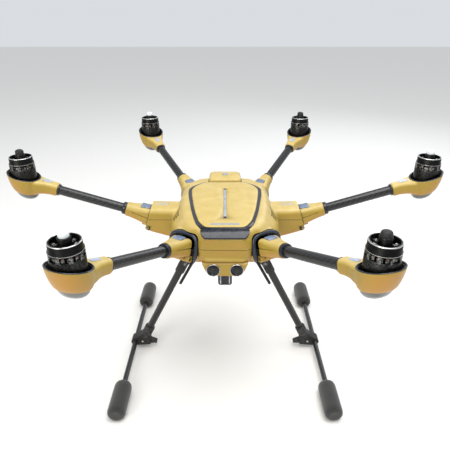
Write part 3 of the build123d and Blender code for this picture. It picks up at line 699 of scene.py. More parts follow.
def facet_point(y, down, side, out=0.0):
    """A point on the hull's slope between the deck's edge and the wall, and that far off it."""
    top, roof, wall, shoulder = hull_values(y)[:4]
    run, fall = wall - top, roof - shoulder
    length = (run**2 + fall**2) ** 0.5
    x, z = top + run * down + out * fall / length, roof - fall * down + out * run / length
    return Vector((side * x, y, z))


def vent_point(u, v, side, out=0.0):
    """A point of the vent's slanted patch: u runs forward along it, v down it."""
    y_top, y_low = -7.5 - 26.0 * u, -20.5 - 15.0 * u
    return facet_point(y_top + (y_low - y_top) * v, 0.4 + 0.42 * v, side, out)


def vent_slits(tool, side):
    """Slanted slits through the hull's slope, between the front arm and the middle arm."""
    for row in range(3):
        for column in range(6):
            u, v = (column + 0.16) / 6, (row + 0.12) / 3
            corners = ((u, v), (u + 0.115, v), (u + 0.115, v + 0.24), (u, v + 0.24))
            loops = [[vent_point(a, b, side, out) for a, b in corners] for out in (-6.0, 2.0)]
            loops_mesh(tool, loops)


def build_vent_screens():
    """A dark screen behind the slits on each side."""
    for side, label in ((1, "right"), (-1, "left")):
        bm = bmesh.new()
        corners = ((-0.03, -0.04), (1.03, -0.04), (1.03, 1.04), (-0.03, 1.04))
        loops_mesh(bm, [[vent_point(a, b, side, out) for a, b in corners] for out in (-3.6, -2.5)])
        dress(make(f"vent_screen_{label}", bm, "black"), "airframe", "black_plastic")


def build_shells():
    hull = build_hull()
    shells = []
    for name, keep_top in (("upper_shell", True), ("lower_shell", False)):
        shell = bpy.data.objects.new(name, hull.data.copy())
        bpy.context.scene.collection.objects.link(shell)
        away = -1 if keep_top else 1
        half_gap = 0.25
        slab = cutter(lambda tool: block(tool, (400, 400, 200), (0, 0, SEAM_Z + away * (100.0 - half_gap))))
        cut(shell, slab)
        shade(shell, 32.0)
        shells.append(shell)
    bpy.data.objects.remove(hull)
    dress(shells[0], "airframe", "shell_film", ["top_shell"])
    lugs = bmesh.new()
    for arm in ARMS:
        for y in (-8.75, 8.75):
            matrix = arm_matrix(arm)
            rod(lugs, 3.2, matrix @ Vector((PIN_X, y - 2.7, PIN_Z)), matrix @ Vector((PIN_X, y + 2.7, PIN_Z)))
            block(lugs, (9.0, 5.4, 6.2), (-0.5, y, PIN_Z), matrix)
    dress(bevel(make("hinge_lugs", lugs, "film"), 0.3), "airframe", "shell_film")
    dress(shells[1], "airframe", "shell_film", ["bottom_shell"])


# ---------------------------------------------------------------- deck
LID = ((21, -82.3), (28.5, -69), (33, -48), (36.2, -29), (41, 10), (42, 28), (37, 39.5), (26.5, 50.5))
TRIM = ((26, -84), (31.5, -73), (36.4, -51), (40, -30), (45.6, 10), (46.5, 31), (39.6, 42), (26.5, 53.4))
DECK_RADII = (5.0, 12.0, 14.0, 14.0, 14.0, 10.0, 7.0, 5.0)
LID_RISE = 1.9
STRIP_Y, STRIP_HALF = -19.5, 43.4


def shield(halves, steps=6, grow=0.0):
    """The lid's shield outline, seen from above, as rounded plane points."""
    right = [(x + grow, y + (grow if y > 0 else -grow)) for x, y in halves]
    left = [(-x, y) for x, y in reversed(right)]
    return rounded_outline(right + left, DECK_RADII + tuple(reversed(DECK_RADII)), steps)


def crown(x, y):
    """The lid's gentle dome."""
    return LID_RISE * max(0.0, 1 - (x / 46.0) ** 2) * max(0.0, 1 - ((y + 8.0) / 90.0) ** 2)


def build_lid():
    bm = bmesh.new()
    rim = shield(LID)
    shrink = [1.0, 1.0, 0.985, 0.93, 0.8, 0.6, 0.4, 0.2]
    lift = [0.0, 0.9, 1.3, 1.45, 1.5, 1.5, 1.5, 1.5]
    loops = []
    for scale, height in zip(shrink, lift):
        centre = Vector((0, -8.0))
        points = [centre + (p - centre) * scale for p in rim]
        loops.append([Vector((p.x, p.y, DECK_Z + height + crown(p.x, p.y))) for p in points])
    loops_mesh(bm, loops)
    lid = make("lid_panel", bm, "film", 50.0)
    cut(lid, cutter(lambda tool: block(tool, (3.2, 87.6, 3.0), (0, STRIP_Y, DECK_Z + 3.6))))
    dress(lid, "airframe", "shell_film", ["top_panel"])
    strip = bmesh.new()
    section = ((-1.4, -1.3), (1.4, -1.3), (1.4, -0.1), (0.9, 0.15), (-0.9, 0.15), (-1.4, -0.1))
    rows = []
    for i in range(30):
        y = STRIP_Y - STRIP_HALF + 2 * STRIP_HALF * i / 29
        rows.append([Vector((x, y, DECK_Z + 1.5 + crown(0, y) + z)) for x, z in section])
    loops_mesh(strip, rows)
    dress(make("light_strip", strip, "badge"), "airframe", "grey_plastic")
    ends = bmesh.new()
    for y in (STRIP_Y - STRIP_HALF + 2.0, STRIP_Y + STRIP_HALF - 2.0):
        block(ends, (3.0, 4.0, 1.6), (0, y, DECK_Z + 1.0 + crown(0, y)))
    dress(bevel(make("light_strip_ends", ends, "gloss"), 0.4), "airframe", "gloss_trim")
    plate = bmesh.new()
    block(plate, (32.0, 3.6, 1.2), (0, -76.5, DECK_Z + 1.9))
    dress(bevel(make("badge_plate", plate, "badge"), 0.5, 4), "airframe", "grey_plastic")


def build_trim():
    """Gloss band round the lid, with a broad bar that runs over the nose's bevel."""
    bm = bmesh.new()
    outer, inner = shield(TRIM), shield(LID, grow=0.4)
    low = [Vector((p.x, p.y, DECK_Z - 0.6)) for p in outer]
    edge = [Vector((p.x, p.y, DECK_Z + 0.6)) for p in outer]
    top = [Vector((p.x * 0.985, p.y * 0.985, DECK_Z + 1.2)) for p in outer]
    inside = [Vector((p.x, p.y, DECK_Z + 1.3)) for p in inner]
    sunk = [Vector((p.x, p.y, DECK_Z - 0.6)) for p in inner]
    loops_mesh(bm, [low, edge, top, inside, sunk, low], caps=False)
    bmesh.ops.remove_doubles(bm, verts=bm.verts, dist=0.001)
    front = []
    for y, half in ((-83.0, 25.6), (-86.0, 26.0), (-89.0, 25.6), (-91.5, 24.0), (-93.6, 21.4)):
        z = hull_values(y)[1] + 0.9
        corners = ((-1, 0.0), (1, 0.0), (1, -1.8), (-1, -1.8))
        front.append([Vector((side * half, y, z + depth)) for side, depth in corners])
    loops_mesh(bm, front)
    trim = make("gloss_trim_band", bm, "gloss", 35.0)
    dress(trim, "airframe", "gloss_trim", ["trim_band"])


# ---------------------------------------------------------------- nose
def build_nose():
    low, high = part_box("nose_housing")
    front, rear = low.y / MM, high.y / MM
    bm = bmesh.new()
    loops = []
    for y, shrink in ((front, 1.6), (front + 0.8, 0.7), (front + 2.6, 0.2), (front + 6.0, 0.0), (rear, 0.0)):
        top, bottom, half = NOSE_TOP - shrink, low.z / MM + shrink, shrink
        corners = ((26.0 - half, top), (19.5 - half, bottom), (-19.5 + half, bottom), (-26.0 + half, top))
        loops.append([Vector((p.x, y, p.y)) for p in rounded_outline(corners, (2.0, 8.0, 8.0, 2.0), 6)])
    loops_mesh(bm, loops)
    housing = make("nose_housing_skin", bm, "film")
    low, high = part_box("sonar_sensors")
    sonar_x, sonar_z = high.x / MM - 7.4, (low.z + high.z) / 2 / MM

    def wells(tool):
        for x in (-sonar_x, sonar_x):
            rod(tool, 7.8, (x, front - 2.0, sonar_z), (x, front + 3.0, sonar_z), 48)

    cut(housing, cutter(wells))
    shade(housing, 35.0)
    dress(housing, "airframe", "shell_film", ["nose_housing"])
    rings, faces = bmesh.new(), bmesh.new()
    for x in (-sonar_x, sonar_x):
        facing = Matrix.Translation((x, front, sonar_z)) @ Matrix.Rotation(pi / 2, 4, "X")
        lathe(rings, [(6.9, 0.2), (6.9, 0.8), (7.2, 1.1), (7.5, 0.9), (7.7, 0.3), (7.7, -2.0), (6.9, -2.0)], 48, facing)
        lathe(faces, [(0, 0.5), (2.2, 0.35), (4.6, -0.3), (6.95, -0.9), (6.95, -2.4), (0, -2.4)], 48, facing)
        lathe(faces, [(1.3, 0.3), (1.6, 0.75), (1.9, 0.3)], 24, facing)
        lathe(faces, [(3.6, -0.3), (3.9, 0.2), (4.2, -0.4)], 32, facing)
    dress(make("sonar_faces", faces, "lens_black"), "airframe", "gloss_trim", ["sonar_sensors"])
    dress(make("sonar_rings", rings, "bright"), "airframe", "gloss_trim")
    low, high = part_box("gimbal_mount")
    bm = bmesh.new()
    middle_y = (low.y + high.y) / 2 / MM
    outline = rounded_rect(16.0, 14.8, 2.5, centre=(0, middle_y))
    base = low.z / MM + 2.5
    rows = ((base, 2.6), (base + 0.5, 1.2), (base + 2.0, 0.1), (high.z / MM, 0.0))
    loops_mesh(
        bm,
        [[Vector((x * (1 - s / 16), middle_y + (y - middle_y) * (1 - s / 16), z)) for x, y in outline] for z, s in rows],
    )
    mount = make("camera_mount_block", bm, "black")

    def grooves(tool):
        for x in (-4.8, 4.8):
            rod(tool, 1.25, (x * 0.83, middle_y, base - 1), (x * 0.83, middle_y, base + 9), 20)

    cut(mount, cutter(grooves))
    shade(mount)
    dress(mount, "airframe", "black_plastic", ["gimbal_mount"])
    # Two pale ribs on the mount's front, in the pale inlay finish: painted highlights standing for the mount's two
    # vertical glints.
    bm = bmesh.new()
    for x in (-5.0, 5.0):
        block(bm, (1.3, 0.8, 16.0), (x, low.y / MM + 0.1, base + 10.5))
    dress(bevel(make("camera_mount_painted_highlights", bm, "inlay"), 0.3), "airframe", "grey_plastic")


def build_arches():
    """Dark arches that frame the two front arms."""
    bm = bmesh.new()
    path = [(19.2, -15.6), (19.3, 5.0), (18.2, 11.8), (13.4, 16.2), (5.0, 17.1)]
    path += [(-y, z) for y, z in reversed(path)]
    inner = [(14.4, -15.6), (14.4, 4.0), (13.6, 9.0), (10.2, 12.2), (4.0, 12.8)]
    inner += [(-y, z) for y, z in reversed(inner)]
    rows = []
    for (oy, oz), (iy, iz) in zip(path, inner):
        middle = ((oy + iy) / 2, (oz + iz) / 2)
        rows.append([(0.3, oy, oz), (5.2, oy, oz), (5.9, *middle), (5.2, iy, iz), (0.3, iy, iz)])
    for arm in FRONT_ARMS:
        loops_mesh(bm, rows, matrix=arm_matrix(arm))
    arches = make("front_arches", bm, "arch", 50.0)
    tool = arches.modifiers.new("round", "SUBSURF")
    tool.levels = tool.render_levels = 2
    settle(arches)
    dress(arches, "airframe", "gloss_trim", ["pocket_arches"])


SHOULDER_TOP = 246.3


def build_shoulder_slots():
    """Four grey inlays on top of each middle shoulder."""
    bm = bmesh.new()
    for side in (-1, 1):
        for i in range(4):
            turn = Matrix.Translation((side * (71.0 + 4.1 * i), 2.0, SHOULDER_TOP)) @ Matrix.Rotation(side * 0.12, 4, "Z")
            block(bm, (1.4, 9.5, 1.4), (0, 0, 0), turn)
    dress(bevel(make("shoulder_inlays", bm, "inlay"), 0.3), "airframe", "grey_plastic")


# ---------------------------------------------------------------- battery
def build_battery():
    low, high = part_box("battery_pack")
    front, rear, top, base = low.y / MM, high.y / MM, high.z / MM, low.z / MM
    bm = bmesh.new()
    block(bm, (48.0, rear - front, 34.0), (0, (front + rear) / 2, base + 17.0))
    pack = bevel(make("battery_case", bm, "black"), 1.5)
    dress(pack, "battery", "battery_case", ["battery_pack"])
    hump_front = 58.0
    bm = bmesh.new()
    loops = []
    for y, sink, narrow in ((hump_front, 4.2, 2.0), (hump_front + 1.2, 1.6, 0.8), (hump_front + 4.0, 0.3, 0.0),
                            (rear - 9.0, 0.6, 0.4), (rear - 3.0, 2.4, 1.6), (rear - 0.4, 6.0, 3.0), (rear, 8.0, 4.0)):
        height = top - sink - (base + 33.0)
        outline = rounded_rect(44.0 - 2 * narrow, height, 5.0, 8, centre=(0, base + 33.0 + height / 2))
        loops.append([Vector((x, y, z)) for x, z in outline])
    loops_mesh(bm, loops)
    hump = make("battery_hump", bm, "film", 50.0)
    cut(hump, cutter(lambda tool: block(tool, (6.8, 6.8, 5.0), (0, 78.0, top))))
    shade(hump)
    dress(hump, "battery", "battery_case")
    low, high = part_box("battery_button")
    bm = bmesh.new()
    block(bm, (6.2, 6.2, (high.z - low.z) / MM), (0, 78.0, (high.z + low.z) / 2 / MM))
    dress(bevel(make("battery_button_cap", bm, "grey"), 0.5), "battery_button", "grey_plastic", ["battery_button"])
    bm = bmesh.new()
    for x in (-12, -4, 4, 12):
        block(bm, (5.0, 1.0, 18.0), (x, rear - 0.2, base + 17.0))
    dress(bevel(make("battery_grip_ribs", bm, "grey"), 0.3), "battery", "grey_plastic")


# ---------------------------------------------------------------- arm pieces
def root_outline(x):
    """Width, height, rounding and centre height of the arm root along the arm."""
    t = (x - 0.3) / (ROOT_END - 0.3)
    ease = t * t * (3 - 2 * t)
    return 27.0 - 10.0 * ease, 20.0 - 3.0 * ease, 4.0 + 3.8 * ease, 1.0 - 1.0 * ease


def arm_root_master():
    bm = bmesh.new()
    length = ROOT_END - ROOT_START
    rows = [ROOT_START, ROOT_START + 0.6] + [ROOT_START + length * i / 16 for i in range(1, 16)] + [ROOT_END - 0.7, ROOT_END]
    loops = []
    for x in rows:
        width, height, radius, centre = root_outline(x)
        trim = 0.9 if x in (rows[0], rows[-1]) else 0.0
        loops.append(across(x, rounded_rect(width - trim, height - trim, radius, 8, (0, centre))))
    loops_mesh(bm, loops)
    root = make("arm_root_master", bm, "film")

    def clamp_slots(tool):
        for side in (-1, 1):
            turn = Matrix.Translation((16.0, side * 12.2, 1.0)) @ Matrix.Rotation(-side * 0.17, 4, "Z")
            block(tool, (24.0, 4.0, 1.7), (0, 0, 0), turn)

    cut(root, cutter(clamp_slots))
    cut(root, cutter(lambda tool: block(tool, (13.2, 12.4, 9.0), (12.3, 0, 9.1))))
    shade(root, 30.0)
    return root


def arm_lug_master():
    bm = bmesh.new()
    rod(bm, 3.2, (PIN_X, -5.7, PIN_Z), (PIN_X, 5.7, PIN_Z), 32)
    block(bm, (12.0, 11.4, 4.6), (PIN_X + 2.8, 0, PIN_Z + 2.3))
    return bevel(make("arm_lug_master", bm, "film"), 0.3)


def tube_master():
    bm = bmesh.new()
    outer = [across(x, [(TUBE_R * cos(a), TUBE_R * sin(a)) for a in (2 * pi * i / 48 for i in range(48))])
             for x in (17.1 + (POD_X - 40.2) * i / 40 for i in range(41))]
    loops_mesh(bm, outer)
    return make("arm_tube_master", bm, "tube")


def collar_master():
    bm = bmesh.new()
    turn = Matrix.Rotation(pi / 2, 4, "Y")
    lathe(bm, [(5.7, 0.1), (7.2, 0.0), (7.8, 0.6), (7.8, 3.7), (7.3, 4.4), (5.7, 4.5)], 48,
          Matrix.Translation((ROOT_END, 0, 0)) @ turn)
    lathe(bm, [(5.7, 0.0), (6.7, 0.1), (7.0, 0.6), (7.0, 2.1), (5.7, 2.2)], 48,
          Matrix.Translation((NECK_X - 2.2, 0, 0)) @ turn)
    return make("collar_master", bm, "gloss")


PAD_X = 12.9


def button_master():
    bm = bmesh.new()
    loops = []
    for z, grow in ((7.6, 0.0), (10.9, 0.0), (11.5, -0.5), (11.8, -1.6)):
        outline = rounded_rect(11.4 + grow, 11.4 + grow, 1.8, 6, (PAD_X, 0))
        loops.append([Vector((x, y, z)) for x, y in outline])
    loops_mesh(bm, loops)
    button = make("button_master", bm, "grey")

    def grip(tool):
        for x in (PAD_X - 3.0, PAD_X, PAD_X + 3.0):
            for side in (-1, 1):
                turn = Matrix.Translation((x, side * 2.5, 11.9)) @ Matrix.Rotation(side * 0.5, 4, "Z")
                block(tool, (0.7, 3.6, 0.9), (0, 0, 0), turn)

    cut(button, cutter(grip))
    shade(button)
    return button


POD_PROFILE = ((0, RIM_LIFT), (18.5, RIM_LIFT), (19.2, RIM_LIFT - 0.6), (18.9, 3.0), (18.2, -1.6), (17.0, -6.2),
               (15.7, -9.6), (14.3, -11.5), (0, -11.5))


def pod_place():
    """From the pod's own centre to the arm frame: its rings are square to the arm, and its foot leans inwards."""
    lean = Matrix.Identity(4)
    lean[0][2], lean[0][3] = POD_LEAN, POD_X - POD_LEAN * RIM_LIFT
    return lean


def pod_master():
    bm = bmesh.new()
    lathe(bm, POD_PROFILE, 64, pod_place())
    loops = []
    for out, width, height, centre in ((0, 13.8, 13.8, 0.0), (0.6, 14.6, 14.6, 0.0), (8, 15.2, 14.8, 0.0),
                                       (15, 18.0, 15.4, -0.3), (22, 23.0, 16.4, -1.2), (30, 29.0, 17.4, -1.8)):
        loops.append(across(NECK_X + out, rounded_rect(width, height, 4.8, 8, (0, centre))))
    loops_mesh(bm, loops)
    pod = make("pod_master", bm, ["film", "black"])
    soften(pod, 0.6, 8)
    inside = [(0, -9.1), (14.8, -9.1), (17.0, -3.8), (17.8, RIM_LIFT), (17.9, RIM_LIFT + 4), (0, RIM_LIFT + 4)]
    cut(pod, cutter(lambda tool: lathe(tool, inside, 64, pod_place())))
    shade(pod, 32.0)
    return pod


def pod_lip_master():
    """The rim's thin gloss lip."""
    bm = bmesh.new()
    lathe(bm, [(17.75, RIM_LIFT - 0.9), (18.9, RIM_LIFT - 0.5), (19.15, RIM_LIFT), (18.7, RIM_LIFT + 0.4),
               (18.0, RIM_LIFT + 0.4), (17.75, RIM_LIFT)], 64, pod_place())
    return make("pod_lip_master", bm, "gloss")


def pod_liner_master():
    """The dark inside of the bowl and the plumb seat that the motor stands on."""
    bm = bmesh.new()
    lathe(bm, [(0, -9.0), (14.6, -9.0), (16.8, -3.8), (17.65, RIM_LIFT - 1.0), (17.1, RIM_LIFT - 1.0), (16.2, -3.4),
               (14.1, -8.2), (0, -8.2)], 64, pod_place())
    rim, plumb = Vector((POD_X, 0, RIM_LIFT)), Vector((sin(ARM_SLOPE), 0, cos(ARM_SLOPE)))
    rod(bm, 9.4, rim - 15.2 * plumb, rim - 9.7 * plumb, 48)
    return make("pod_liner_master", bm, "black")


def inlay_master():
    bm = bmesh.new()
    outline = rounded_rect(10.6, 5.6, 2.0, 6, (NECK_X + 14.5, 0))
    loops_mesh(bm, [[Vector((x, y, z)) for x, y in outline] for z in (5.5, 7.5, 7.8)])
    return make("inlay_master", bm, "inlay")


def lens_master():
    bm = bmesh.new()
    lathe(bm, [(0, -19.4), (5.4, -19.4), (7.8, -19.0), (10.4, -17.3), (12.4, -14.9), (13.7, -11.5), (12.6, -11.5),
               (11.6, -14.2), (9.7, -16.4), (7.4, -17.9), (0, -18.2)], 64, pod_place())
    return make("lens_master", bm, "lens")


# ---------------------------------------------------------------- motor pieces
WINDOWS = 9


def bell_master():
    bm = bmesh.new()
    lathe(bm, [(12.7, -7), (13.6, -7), (14, -6.5), (14, 9.0), (13.7, 9.5), (12.7, 9.5)], 72)
    lathe(bm, [(12.7, 13.9), (13.7, 13.9), (14, 14.3), (14, 15.1), (13.1, 16.4), (13, 21.9), (12.6, 22.5), (11.3, 22.5),
               (11.2, 16.3), (12.2, 15.2), (12.7, 15.0)], 72)
    for i in range(WINDOWS):
        turn = Matrix.Rotation(2 * pi * (i + 0.5) / WINDOWS, 4, "Z")
        block(bm, (1.3, 3.0, 6.4), (13.3, 0, 11.7), turn)
    lathe(bm, [(0, 16.4), (6.6, 16.4), (6.6, 18.6), (5.6, 19.4), (5.3, 20.0), (5.3, 25.2), (4.9, 25.8), (0, 25.8)], 48)
    for i in range(6):
        turn = Matrix.Rotation(2 * pi * i / 6, 4, "Z")
        block(bm, (6.6, 3.0, 2.4), (8.9, 0, 17.6), turn)
    return bevel(make("bell_master", bm, "anodised"), 0.18, 2)


def bell_bright_master():
    """Machined rim and lower edge, and the screw heads on the spokes."""
    bm = bmesh.new()
    lathe(bm, [(12.2, 22.4), (12.5, 22.65), (12.85, 22.4), (13.08, 21.9), (12.4, 22.0)], 72)
    lathe(bm, [(13.7, 15.0), (14.08, 15.0), (14.08, 15.3), (13.7, 15.3)], 72)
    for i in range(6):
        a = 2 * pi * i / 6
        centre = Vector((9.0 * cos(a), 9.0 * sin(a), 18.7))
        rod(bm, 1.25, centre, centre + Vector((0, 0, 0.9)), 20)
    return bevel(make("bell_bright_master", bm, "bright"), 0.12, 2)


def white_cap_master():
    bm = bmesh.new()
    lathe(bm, [(0, 30.8), (2.0, 30.6), (3.4, 30.1), (4.1, 29.1), (4.3, 27.8), (4.3, 25.4), (4.0, 24.8), (0, 24.8)], 40)
    return make("white_cap_master", bm, "white")


def black_cap_master():
    bm = bmesh.new()
    lathe(bm, [(0, 31.0), (2.2, 30.8), (3.9, 30.0), (4.7, 28.4), (4.7, 25.4), (4.4, 24.8), (0, 24.8)], 40)
    block(bm, (9.0, 2.6, 2.2), (0, 0, 28.4))
    return bevel(make("black_cap_master", bm, "black"), 0.3, 3)


def winding_master():
    bm = bmesh.new()
    for i in range(12):
        turn = Matrix.Rotation(2 * pi * i / 12, 4, "Z")
        for k in range(7):
            block(bm, (4.2, 3.6 - 0.2 * (k % 2), 1.25), (9.2, 0, 2.4 + 1.55 * k), turn)
    return bevel(make("winding_master", bm, "copper"), 0.3, 2)


def stator_master():
    bm = bmesh.new()
    lathe(bm, [(0, -9.6), (10.4, -9.6), (10.6, -9.2), (10.6, -7.6), (6.6, -7.2), (6.6, 13.4), (0, 13.4)], 48)
    for i in range(12):
        turn = Matrix.Rotation(2 * pi * i / 12, 4, "Z")
        block(bm, (0.9, 4.6, 10.8), (11.9, 0, 7.0), turn)
    return bevel(make("stator_master", bm, "anodised"), 0.2, 2)


def build_arms():
    in_arm = {
        "root": (arm_root_master(), "shell_film", "arm_root"),
        "lug": (arm_lug_master(), "shell_film", None),
        "tube": (tube_master(), "carbon_tube", "arm_tube"),
        "collars": (collar_master(), "gloss_trim", None),
        "pod": (pod_master(), "shell_film", "motor_pod"),
        "pod_lip": (pod_lip_master(), "gloss_trim", None),
        "pod_liner": (pod_liner_master(), "black_plastic", None),
        "neck_inlay": (inlay_master(), "grey_plastic", None),
        "lens": (lens_master(), "grey_plastic", None),
    }
    on_motor = {
        "stator": (stator_master(), "windings", "stator", "arm"),
        "windings": (winding_master(), "windings", None, "arm"),
        "bell": (bell_master(), "motor_metal", "bell", "rotor"),
        "bell_edges": (bell_bright_master(), "motor_metal", None, "rotor"),
    }
    button, caps = button_master(), {True: white_cap_master(), False: black_cap_master()}
    for arm in ARMS:
        for name, (master, slot, node) in in_arm.items():
            nodes = [f"{node}_{arm}"] if node else []
            place(f"{name}_{arm}", master, arm_matrix(arm), f"arm_{arm}", slot, nodes)
        for name, (master, slot, node, kind) in on_motor.items():
            nodes = [f"{node}_{arm}"] if node else []
            place(f"{name}_{arm}", master, motor_matrix(arm), f"{kind}_{arm}", slot, nodes)
        white = arm in WHITE_CAPS
        place(f"post_cap_{arm}", caps[white], motor_matrix(arm), f"rotor_{arm}", "motor_metal")
        place(f"latch_pad_{arm}", button, arm_matrix(arm), f"latch_{arm}", "grey_plastic", [f"release_button_{arm}"])
    masters = [entry[0] for entry in (*in_arm.values(), *on_motor.values())]
    for master in (*masters, button, *caps.values()):
        bpy.data.objects.remove(master)


# ---------------------------------------------------------------- legs
LEG_LENGTH = 148.0
LEG_SPLAY = radians(26.4)
STRUT_TOP_R, STRUT_FOOT_R = 5.2, 4.9


def leg_matrix(side):
    """From the leg frame, with z down the leg, to the row frame."""
    hinge = joint_place("leg_retract_right")
    z = Vector((side * sin(LEG_SPLAY), 0, -cos(LEG_SPLAY)))
    y = Vector((0, 1, 0))
    x = y.cross(z)
    origin = Vector((side * hinge.x, hinge.y, hinge.z))
    return Matrix.Translation(origin) @ Matrix((x, y, z)).transposed().to_4x4()


def build_leg(side, label):
    body = f"leg_{label}"
    low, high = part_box(f"skid_tube_{label}")
    skid = Vector(((low.x + high.x) / 2, (low.y + high.y) / 2, (low.z + high.z) / 2)) / MM
    half = (high.y - low.y) / 2 / MM
    bm = bmesh.new()
    strut = []
    for i in range(31):
        z = 8.0 + (LEG_LENGTH - 8.0) * i / 30
        radius = STRUT_TOP_R + (STRUT_FOOT_R - STRUT_TOP_R) * i / 30
        strut.append([leg_matrix(side) @ p for p in circle(radius, 40, lambda a, r: Vector((r * cos(a), r * sin(a), z)))])
    loops_mesh(bm, strut)
    dress(make(f"leg_tube_{label}", bm, "leg"), body, "carbon_tube", [f"leg_strut_{label}"])
    bm = bmesh.new()
    matrix = leg_matrix(side)
    lathe(bm, [(0, 4.2), (5.6, 4.2), (6.4, 5.0), (6.6, 6.6), (6.6, 20.2), (6.1, 21.4), (0, 21.4)], 40, matrix)
    lathe(bm, [(0, 128.4), (6.7, 128.4), (7.4, 129.6), (7.4, 147.6), (0, 147.6)], 40, matrix)
    dress(make(f"leg_sockets_{label}", bm, "black"), body, "black_plastic", [f"leg_joints_{label}"])
    bm = bmesh.new()
    rod(bm, 4.4, matrix @ Vector((0, -6.6, 0)), matrix @ Vector((0, 6.6, 0)), 40)
    y0, y1 = skid.y - 7.0, skid.y + 7.0
    shape = [(-22.6, 6.8), (0, 5.2), (5.6, 8.2), (6.4, 12.0), (4.4, 16.2), (0, 18.0), (-11, 25.2), (-22, 20.3)]
    loops_mesh(bm, [[Vector((skid.x + side * x, y, z)) for x, z in shape] for y in (y0, y1)])
    wing = [(-31.8, 6.8), (-21.8, 6.8), (-21.8, 14.4), (-31.8, 9.6)]
    loops_mesh(bm, [[Vector((skid.x + side * x, y, z)) for x, z in wing] for y in (skid.y - 4.0, skid.y + 4.0)])
    dress(bevel(make(f"leg_foot_{label}", bm, "black"), 0.6, 3), body, "black_plastic")
    bm = bmesh.new()
    for y in (y0 - 0.5, y1 + 0.5):
        rod(bm, 1.5, (skid.x - side * 11.0, y - 0.4, 13.0), (skid.x - side * 11.0, y + 0.4, 13.0), 20)
    dress(bevel(make(f"foot_screws_{label}", bm, "bright"), 0.2), body, "steel")
    bm = bmesh.new()
    rows = [[Vector((skid.x + 3.5 * cos(a), y, skid.z + 3.5 * sin(a))) for a in (2 * pi * i / 32 for i in range(32))]
            for y in (skid.y - half + 2 * half * k / 40 for k in range(41))]
    loops_mesh(bm, rows)
    dress(make(f"skid_rail_{label}", bm, "leg"), body, "carbon_tube", [f"skid_tube_{label}"])
    build_foam(label, body, skid)


def build_foam(label, body, skid):
    """Foam sleeves at both ends of a skid, with rounded, slightly uneven ends."""
    low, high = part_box(f"foam_ends_{label}")
    length = 52.0
    profile = [(0, 0.9), (3.8, 0.5), (6.8, 0.15), (9.0, 0.9), (10.7, 2.8), (11.4, 5.6), (11.5, 11.0)]
    profile += [(r, length - z) for r, z in reversed(profile)]
    for name, start, replaced in (("front", low.y / MM, [f"foam_ends_{label}"]), ("rear", high.y / MM - length, [])):
        bm = bmesh.new()
        lathe(bm, profile, 56, Matrix.Translation((skid.x, start + length, skid.z)) @ Matrix.Rotation(pi / 2, 4, "X"))
        pad = make(f"foam_{name}_{label}", bm, "foam", 80.0)
        dress(pad, body, "foam", replaced)


ANTENNA_SPLAY = radians(27.6)


def build_antenna(side, label):
    hinge = joint_place(f"antenna_swing_{label}")
    down = Vector((side * sin(ANTENNA_SPLAY), 0, -cos(ANTENNA_SPLAY)))
    turn = down.to_track_quat("Z", "Y").to_matrix().to_4x4()
    bm = bmesh.new()
    rod(bm, 2.5, hinge - Vector((0, 2.9, 0)), hinge + Vector((0, 2.9, 0)), 24)
    lathe(bm, [(0, 0.0), (2.1, 0.4), (2.4, 3.0), (2.4, 8.0), (2.1, 9.0), (2.1, 44.6), (1.6, 45.6), (0, 45.8)], 24,
          Matrix.Translation(hinge) @ turn)
    piece = make(f"antenna_rod_{label}", bm, "black")
    dress(piece, f"antenna_{label}", "black_plastic", [f"antenna_{label}"])


# ---------------------------------------------------------------- the frame's own pieces that stay
def finish_kept_nodes():
    for node, finish in {
        "battery_bay": "black",
        "main_board": "board",
        "hinge_pins": "anodised",
        "retract_units": "black",
    }.items():
        kept = frame["nodes"][node]
        kept.data.materials.clear()
        kept.data.materials.append(FINISH[finish])
        for slot in kept.material_slots:
            slot.material = FINISH[finish]


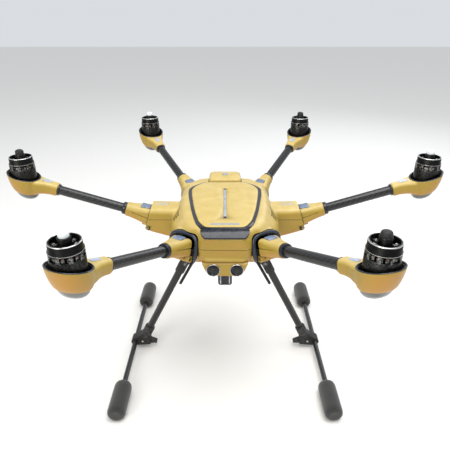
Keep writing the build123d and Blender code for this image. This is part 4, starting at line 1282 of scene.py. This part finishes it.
# ---------------------------------------------------------------- stage
def plain(name, colour, roughness):
    material = bpy.data.materials.new(name)
    material.use_nodes = True
    shader = material.node_tree.nodes["Principled BSDF"]
    shader.inputs["Base Color"].default_value = (*colour, 1.0)
    shader.inputs["Roughness"].default_value = roughness
    return material


def soft_light(name, at, aim, size, power, colour=(1, 1, 1)):
    lamp = bpy.data.lights.new(name, "AREA")
    lamp.shape, lamp.size, lamp.energy, lamp.color = "SQUARE", size, power, colour
    holder = bpy.data.objects.new(name, lamp)
    holder.location = at
    holder.rotation_euler = (Vector(aim) - Vector(at)).to_track_quat("-Z", "Y").to_euler()
    bpy.context.scene.collection.objects.link(holder)


def build_stage():
    bm = bmesh.new()
    bmesh.ops.create_grid(bm, x_segments=1, y_segments=1, size=6.0)
    mesh = bpy.data.meshes.new("floor")
    bm.to_mesh(mesh)
    bm.free()
    mesh.materials.append(plain("pale_floor", (0.83, 0.82, 0.79), 0.7))
    floor = bpy.data.objects.new("floor", mesh)
    bpy.context.scene.collection.objects.link(floor)
    world = bpy.data.worlds.new("studio")
    world.use_nodes = True
    world.node_tree.nodes["Background"].inputs["Color"].default_value = (0.93, 0.96, 1.0, 1.0)
    world.node_tree.nodes["Background"].inputs["Strength"].default_value = 0.75
    bpy.context.scene.world = world
    bpy.context.scene.view_settings.view_transform = "Standard"
    soft_light("overhead", (0.2, -0.2, 1.5), (0, 0, 0.2), 1.0, 17)
    soft_light("front_fill", (-0.9, -1.3, 0.9), (0, 0, 0.2), 0.9, 12, (1.0, 0.97, 0.9))
    soft_light("rear_rim", (0.7, 1.2, 1.0), (0, 0, 0.25), 0.7, 4, (0.92, 0.96, 1.0))


def build_camera():
    camera = bpy.data.cameras.new("camera")
    camera.lens, camera.sensor_width = 35.06, 36.0
    holder = bpy.data.objects.new("camera", camera)
    holder.location = (0, -0.4964, 0.4626)
    holder.rotation_euler = (radians(90 - 26.2), 0, 0)
    bpy.context.scene.collection.objects.link(holder)
    bpy.context.scene.camera = holder


build_shells()
build_vent_screens()
build_lid()
build_trim()
build_nose()
build_arches()
build_shoulder_slots()
build_battery()
build_arms()
for side, label in ((1, "right"), (-1, "left")):
    build_leg(side, label)
    build_antenna(side, label)
finish_kept_nodes()
build_stage()
build_camera()
